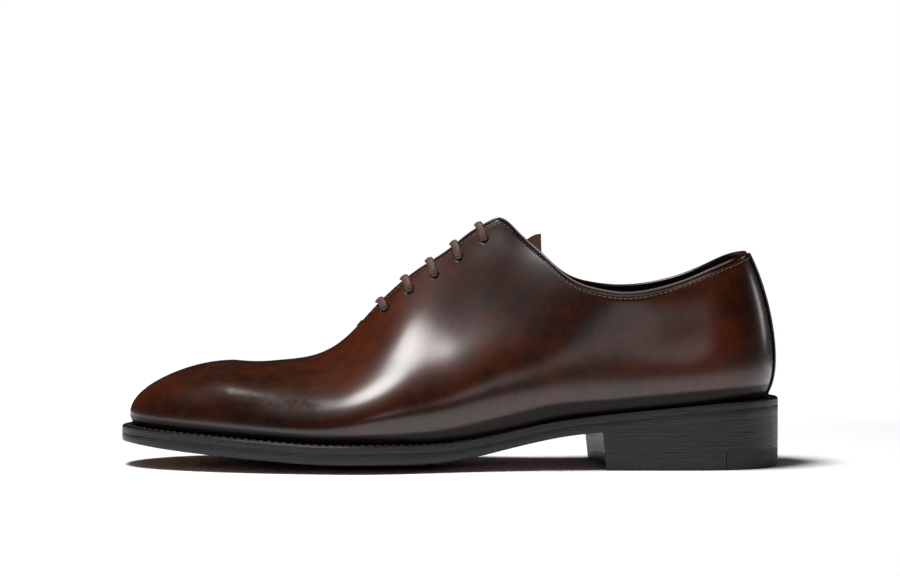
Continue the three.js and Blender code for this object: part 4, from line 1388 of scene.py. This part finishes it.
def make_outsole():
    piece = Piece("outsole_leather")
    bevel = mix(HEEL_BEVEL, FOREPART_BEVEL, smoothstep(foot_along, BEVEL_START, FOREPART_START))
    edges = sole_edge_loops(bevel)
    shares = [0, 0.12, FLAT_SHARE, 0.3, 0.5, 0.7, 0.85, 0.94]
    inset = edge_place(bevel)
    below = [loop_at(towards_axis(inset, share), underside_height) for share in shares]
    top_inset = edge_place(SOLE_ROUND)
    above = [loop_at(towards_axis(top_inset, share), sole_top) for share in shares]
    piece.grid(np.stack(below + edges[:1], axis=1), 1, wrap_rows=True)
    piece.grid(np.stack(edges, axis=1), 0, wrap_rows=True)
    piece.grid(np.stack(above + edges[-1:], axis=1), 0, wrap_rows=True)
    stand_for(piece.build([edge, bottom], sharp_degrees=50), "edge_leather", "outsole")


def make_welt():
    """A strip that hugs the sole, with a burnished slope at its top edge and a stitch groove."""
    piece = Piece("welt_strip")
    low = sole_top
    near = FIT - WELT_DROP
    loops = [
        loop_at(edge_place(WELT_WIDTH), low, FIT),
        loop_at(edge_place(WELT_WIDTH / 2), low, near),
        loop_at(edge_place(SOLE_ROUND), low, near),
        loop_at(edge_place(0), low, FIT),
        loop_at(edge_place(-SOLE_SWELL), even_top, -0.5 * WELT_THICKNESS),
        loop_at(edge_place(0), even_top, -WELT_SLOPE_HEIGHT),
        loop_at(edge_place(WELT_SLOPE_WIDTH), even_top),
        loop_at(edge_place(WELT_STITCH_PLACE - WELT_GROOVE_HALF), even_top),
        loop_at(edge_place(WELT_STITCH_PLACE), even_top, -WELT_GROOVE_DEPTH),
        loop_at(edge_place(WELT_STITCH_PLACE + WELT_GROOVE_HALF), even_top),
        loop_at(edge_place(WELT_WIDTH), even_top),
    ]
    piece.grid(np.stack(loops, axis=1), 0, wrap_rows=True, wrap_columns=True)
    stand_for(piece.build([edge], sharp_degrees=30), "edge_leather", "welt")


def make_welt_stitches():
    line = loop_at(edge_place(WELT_STITCH_PLACE), even_top, -WELT_GROOVE_DEPTH / 2)
    outside = edge_margin > WELT_STITCH_PLACE + WELT_STITCH_ROOM
    path = line[outside & (foot_along >= FOREPART_START)]
    make_stitches(
        "welt_stitches", "edge_leather", welt_thread, path, np.tile(UP, (len(path), 1)),
        WELT_STITCH_PITCH, WELT_STITCH_LENGTH, WELT_STITCH_RADIUS,
    )


def make_insole():
    piece = Piece("sock_sheet")
    edge_in = ring.foot - foot_normals * (WALL + FIT)

    def top(along, share):
        inwards = 1 - np.minimum(1, share / SOCK_HOLLOW_SHARE) ** 2
        hollow = np.maximum(0, crown_curve(along)) * CROWN_HEIGHT / 2 * inwards
        return welt_top(along) + FIT + INSOLE_THICKNESS - hollow

    def low(along, share):
        return welt_top(along) + FIT

    shares = [0, 0.15, 0.3, 0.45, 0.6, 0.75, 0.88, 0.96, 1]
    above = [loop_at(towards_axis(edge_in, share), top) for share in shares]
    below = [loop_at(towards_axis(edge_in, share), low) for share in (1, 0.5, 0)]
    piece.grid(np.stack(above + below, axis=1), 0, wrap_rows=True)
    stand_for(piece.build([sock], sharp_degrees=50), "sock_leather", "insole")


make_outsole()
make_welt()
make_welt_stitches()
make_insole()

# Heel


def edge_y(x, side):
    on_side = sole_edge[:, 1] * side >= 0
    places = sole_edge[on_side]
    order = np.argsort(places[:, 0])
    return np.interp(x, places[order, 0], places[order, 1])


back_x = sole_edge[:, 0].max()
LEAST_PLACE = 0.02
SEAT_GAP = 0.01
LIFT_GAP = 0.08


def heel_sheet(places, height):
    """Points across the heel at each place, seen from the breast to the back, at one height."""
    count = 28
    across = np.linspace(0, 1, count + 1)[None, :]
    x = np.minimum(back_x - places, back_x - LEAST_PLACE)[:, None]
    low = edge_y(x, LATERAL)
    high = edge_y(x, MEDIAL)
    seat = np.clip(height / middle_height(along_at(x)), 0, 1)
    half = BREAST_PLACE / 2
    fade = np.maximum(0, 1 - np.where(back_x - x < half, 1, (BREAST_PLACE - places[:, None]) / half))
    curve = BREAST_HOLLOW * np.sin(math.pi * across) - BREAST_SKEW * across
    lean = BREAST_LEAN * (1 - seat)
    y = mix(low, high, across) * (1 - HEEL_TAPER / (BALL_WIDTH / 3) * (1 - seat))
    return np.stack([x + (curve + lean) * fade, y, height + 0 * y], axis=-1)


def heel_places(start, end, steps):
    if end > 0:
        return np.linspace(start, end, steps + 1)
    return start * (1 - np.sin(math.pi / 2 * np.linspace(0, 1, steps + 1)))


def heel_block(name, places, low, high, material, slot, node):
    """A layer of the heel between two heights, or up to the sole where high is None."""
    top_height = HEEL_HEIGHT if high is None else high
    bottom_sheet = heel_sheet(places, low)
    top_sheet = heel_sheet(places, top_height)
    if high is None:
        along = np.clip(along_at(top_sheet[..., 0]), 0, 1)
        top_sheet[..., 2] = middle_height(along) - SEAT_GAP
    piece = Piece(name)
    piece.grid(bottom_sheet)
    piece.grid(top_sheet)
    piece.grid(rim_between(bottom_sheet, top_sheet, 6), wrap_rows=True)
    stand_for(piece.build([material], sharp_degrees=50), slot, node)


heel_block(
    "heel_lifts", heel_places(BREAST_PLACE, 0, 60), LIFT_THICKNESS + LIFT_GAP, None,
    edge, "edge_leather", "heel_stack",
)
heel_block(
    "top_lift_leather", heel_places(BREAST_PLACE, RUBBER_LENGTH + FIT, 30), 0, LIFT_THICKNESS,
    edge, "edge_leather", "lift_leather",
)
heel_block(
    "top_lift_rubber", heel_places(RUBBER_LENGTH, 0, 36), 0, LIFT_THICKNESS,
    rubber, "lift_rubber", "lift_rubber",
)

# Backstay

LEVEL_STEP = 0.01
OFFSET_STEP = 0.5
STAY_ROWS = 90
STAY_SIDES = 40
STAY_FOOT = 0.012
STAY_TOP_GAP = 0.02
STAY_LIFT = 0.1
STAY_SQUARE_ACROSS = 0.5
STAY_SQUARE_UP = 0.7

def back_point(level, offset, lift):
    level, offset, lift = np.broadcast_arrays(level, offset, lift)
    shape = level.shape

    def surface(side, at):
        middle = heel_stations(np.zeros(at.size))
        angle = -np.arcsin(side.ravel() / middle.radius(at.ravel()))
        return heel_stations(angle).points(at.ravel()).reshape(shape + (3,))

    upward = surface(offset, level + LEVEL_STEP) - surface(offset, level - LEVEL_STEP)
    sideways = surface(offset + OFFSET_STEP, level) - surface(offset - OFFSET_STEP, level)
    normal = unit(np.cross(upward, sideways))
    normal = normal * np.sign(normal[..., :1])
    return surface(offset, level) + normal * lift[..., None]


def make_backstay():
    """A strip down the back seam, with a closed top that stops just below the collar."""
    middle = heel_stations(np.zeros(1))
    top_level = open_levels(middle)[0]
    levels = np.linspace(STAY_FOOT, top_level - STAY_TOP_GAP, STAY_ROWS)[:, None]
    angle = np.linspace(0, 2 * math.pi, STAY_SIDES, endpoint=False)[None, :]
    across = np.sign(np.cos(angle)) * np.abs(np.cos(angle)) ** STAY_SQUARE_ACROSS
    up = np.sign(np.sin(angle)) * np.abs(np.sin(angle)) ** STAY_SQUARE_UP
    offset = BACKSTAY_WIDTH / 2 * across
    lift = STAY_LIFT + BACKSTAY_THICKNESS / 2 * (1 + up)
    loops = back_point(levels, offset, lift)
    first = np.repeat(loops[:1].mean(axis=1, keepdims=True), STAY_SIDES, axis=1)
    last = np.repeat(loops[-1:].mean(axis=1, keepdims=True), STAY_SIDES, axis=1)
    piece = Piece("backstay_strip")
    piece.grid(np.concatenate([first, loops, last]), 0, wrap_columns=True)
    stand_for(piece.build([strip], sharp_degrees=60), "strip_leather", "backstay")


make_backstay()

# Floor, lights and camera

WHITE = (1, 1, 1, 1)
CAMERA_PLACE = (0, -1300, 129)
CAMERA_TARGET = (0, 0, 82.6)
CAMERA_LENS = 110.8
TABLE_FRONT = -0.9
TABLE_BACK = 0.5
TABLE_SIDE = 0.9

# The floor behind the shoe is lit up to white, from and to these distances
LIT_START = 0.15
LIT_END = 0.6
LIT_STRENGTH = 0.6


def make_floor():
    mesh = bpy.data.meshes.new("floor")
    corners = [
        (-TABLE_SIDE, TABLE_FRONT, 0),
        (TABLE_SIDE, TABLE_FRONT, 0),
        (TABLE_SIDE, TABLE_BACK, 0),
        (-TABLE_SIDE, TABLE_BACK, 0),
    ]
    mesh.from_pydata(corners, [], [(0, 1, 2, 3)])
    shader = Shader("floor_paper", (0.98, 0.98, 0.98), 0.9, Specular_IOR_Level=0)
    shader.set("Base Color", shader.blend(shader.noise(3), (0.97, 0.97, 0.97), (0.99, 0.99, 0.99)))
    behind = shader.node("ShaderNodeSeparateXYZ", {"Vector": shader.place()}).outputs["Y"]
    shader.set("Emission Color", WHITE)
    shader.set("Emission Strength", shader.spread(behind, LIT_START, LIT_END, 0.0, LIT_STRENGTH))
    mesh.materials.append(shader.material)
    floor = bpy.data.objects.new("floor", mesh)
    bpy.context.scene.collection.objects.link(floor)


def put_aimed(name, data, place, target):
    """An object at a place, turned to face a target."""
    thing = bpy.data.objects.new(name, data)
    thing.location = place
    thing.rotation_mode = "QUATERNION"
    thing.rotation_quaternion = (Vector(target) - Vector(place)).to_track_quat("-Z", "Y")
    bpy.context.scene.collection.objects.link(thing)
    return thing


def make_light(name, place, target, size, power):
    light = bpy.data.lights.new(name, "AREA")
    light.shape = "ELLIPSE"
    light.size, light.size_y = size
    light.energy = power
    return put_aimed(name, light, place, target)


# Direction of the soft glow round the lamp, and how fast it fades
GLOW_DIRECTION = (-0.33, -0.33, 0.885)
GLOW_STRENGTH = 0.8
GLOW_FADE = 24.0
ROOM_STRENGTH = 0.02


def make_world():
    """White behind the shoe as the camera sees it, and a dark room with a soft glow overhead."""
    world = bpy.data.worlds.new("studio")
    world.use_nodes = True
    tree = world.node_tree
    tree.nodes.clear()

    def node(kind, inputs=None, **settings):
        return add_node(tree, kind, inputs, **settings).outputs

    def math_node(operation, *inputs):
        return node("ShaderNodeMath", dict(enumerate(inputs)), operation=operation)[0]

    towards = node("ShaderNodeTexCoord")["Generated"]
    facing = node("ShaderNodeVectorMath", {0: towards, 1: GLOW_DIRECTION}, operation="DOT_PRODUCT")["Value"]
    faded = math_node("POWER", math_node("MAXIMUM", facing, 0.0), GLOW_FADE)
    strength = math_node("MULTIPLY_ADD", faded, GLOW_STRENGTH, ROOM_STRENGTH)
    room = node("ShaderNodeBackground", {"Color": WHITE, "Strength": strength})[0]
    seen = node("ShaderNodeBackground", {"Color": WHITE, "Strength": 1.0})[0]
    seen_by_camera = node("ShaderNodeLightPath")["Is Camera Ray"]
    either = node("ShaderNodeMixShader", {0: seen_by_camera, 1: room, 2: seen})[0]
    node("ShaderNodeOutputWorld", {"Surface": either})
    bpy.context.scene.world = world


def make_camera():
    data = bpy.data.cameras.new("camera")
    data.lens = CAMERA_LENS
    place, target = (to_frame(np.array(point, float)) for point in (CAMERA_PLACE, CAMERA_TARGET))
    bpy.context.scene.camera = put_aimed("camera", data, place, target)


make_floor()
make_world()
make_camera()
make_light("overhead", (-0.31, -0.19, 1.26), (0, 0, 0), (0.44, 0.38), 7)
soft_fill = make_light("soft_fill", (-0.3, -0.1, 1.28), (0, 0, 0), (0.42, 0.32), 13)
soft_fill.visible_glossy = False
make_light("front_card", (0.45, -2.2, 0.8), (0.1, 0, 0.07), (0.8, 0.5), 1.1)
make_light("rim_card", (1.35, 0.75, 0.32), (0.14, 0, 0.05), (0.2, 0.4), 0.7)
bpy.context.scene.view_settings.view_transform = "Standard"
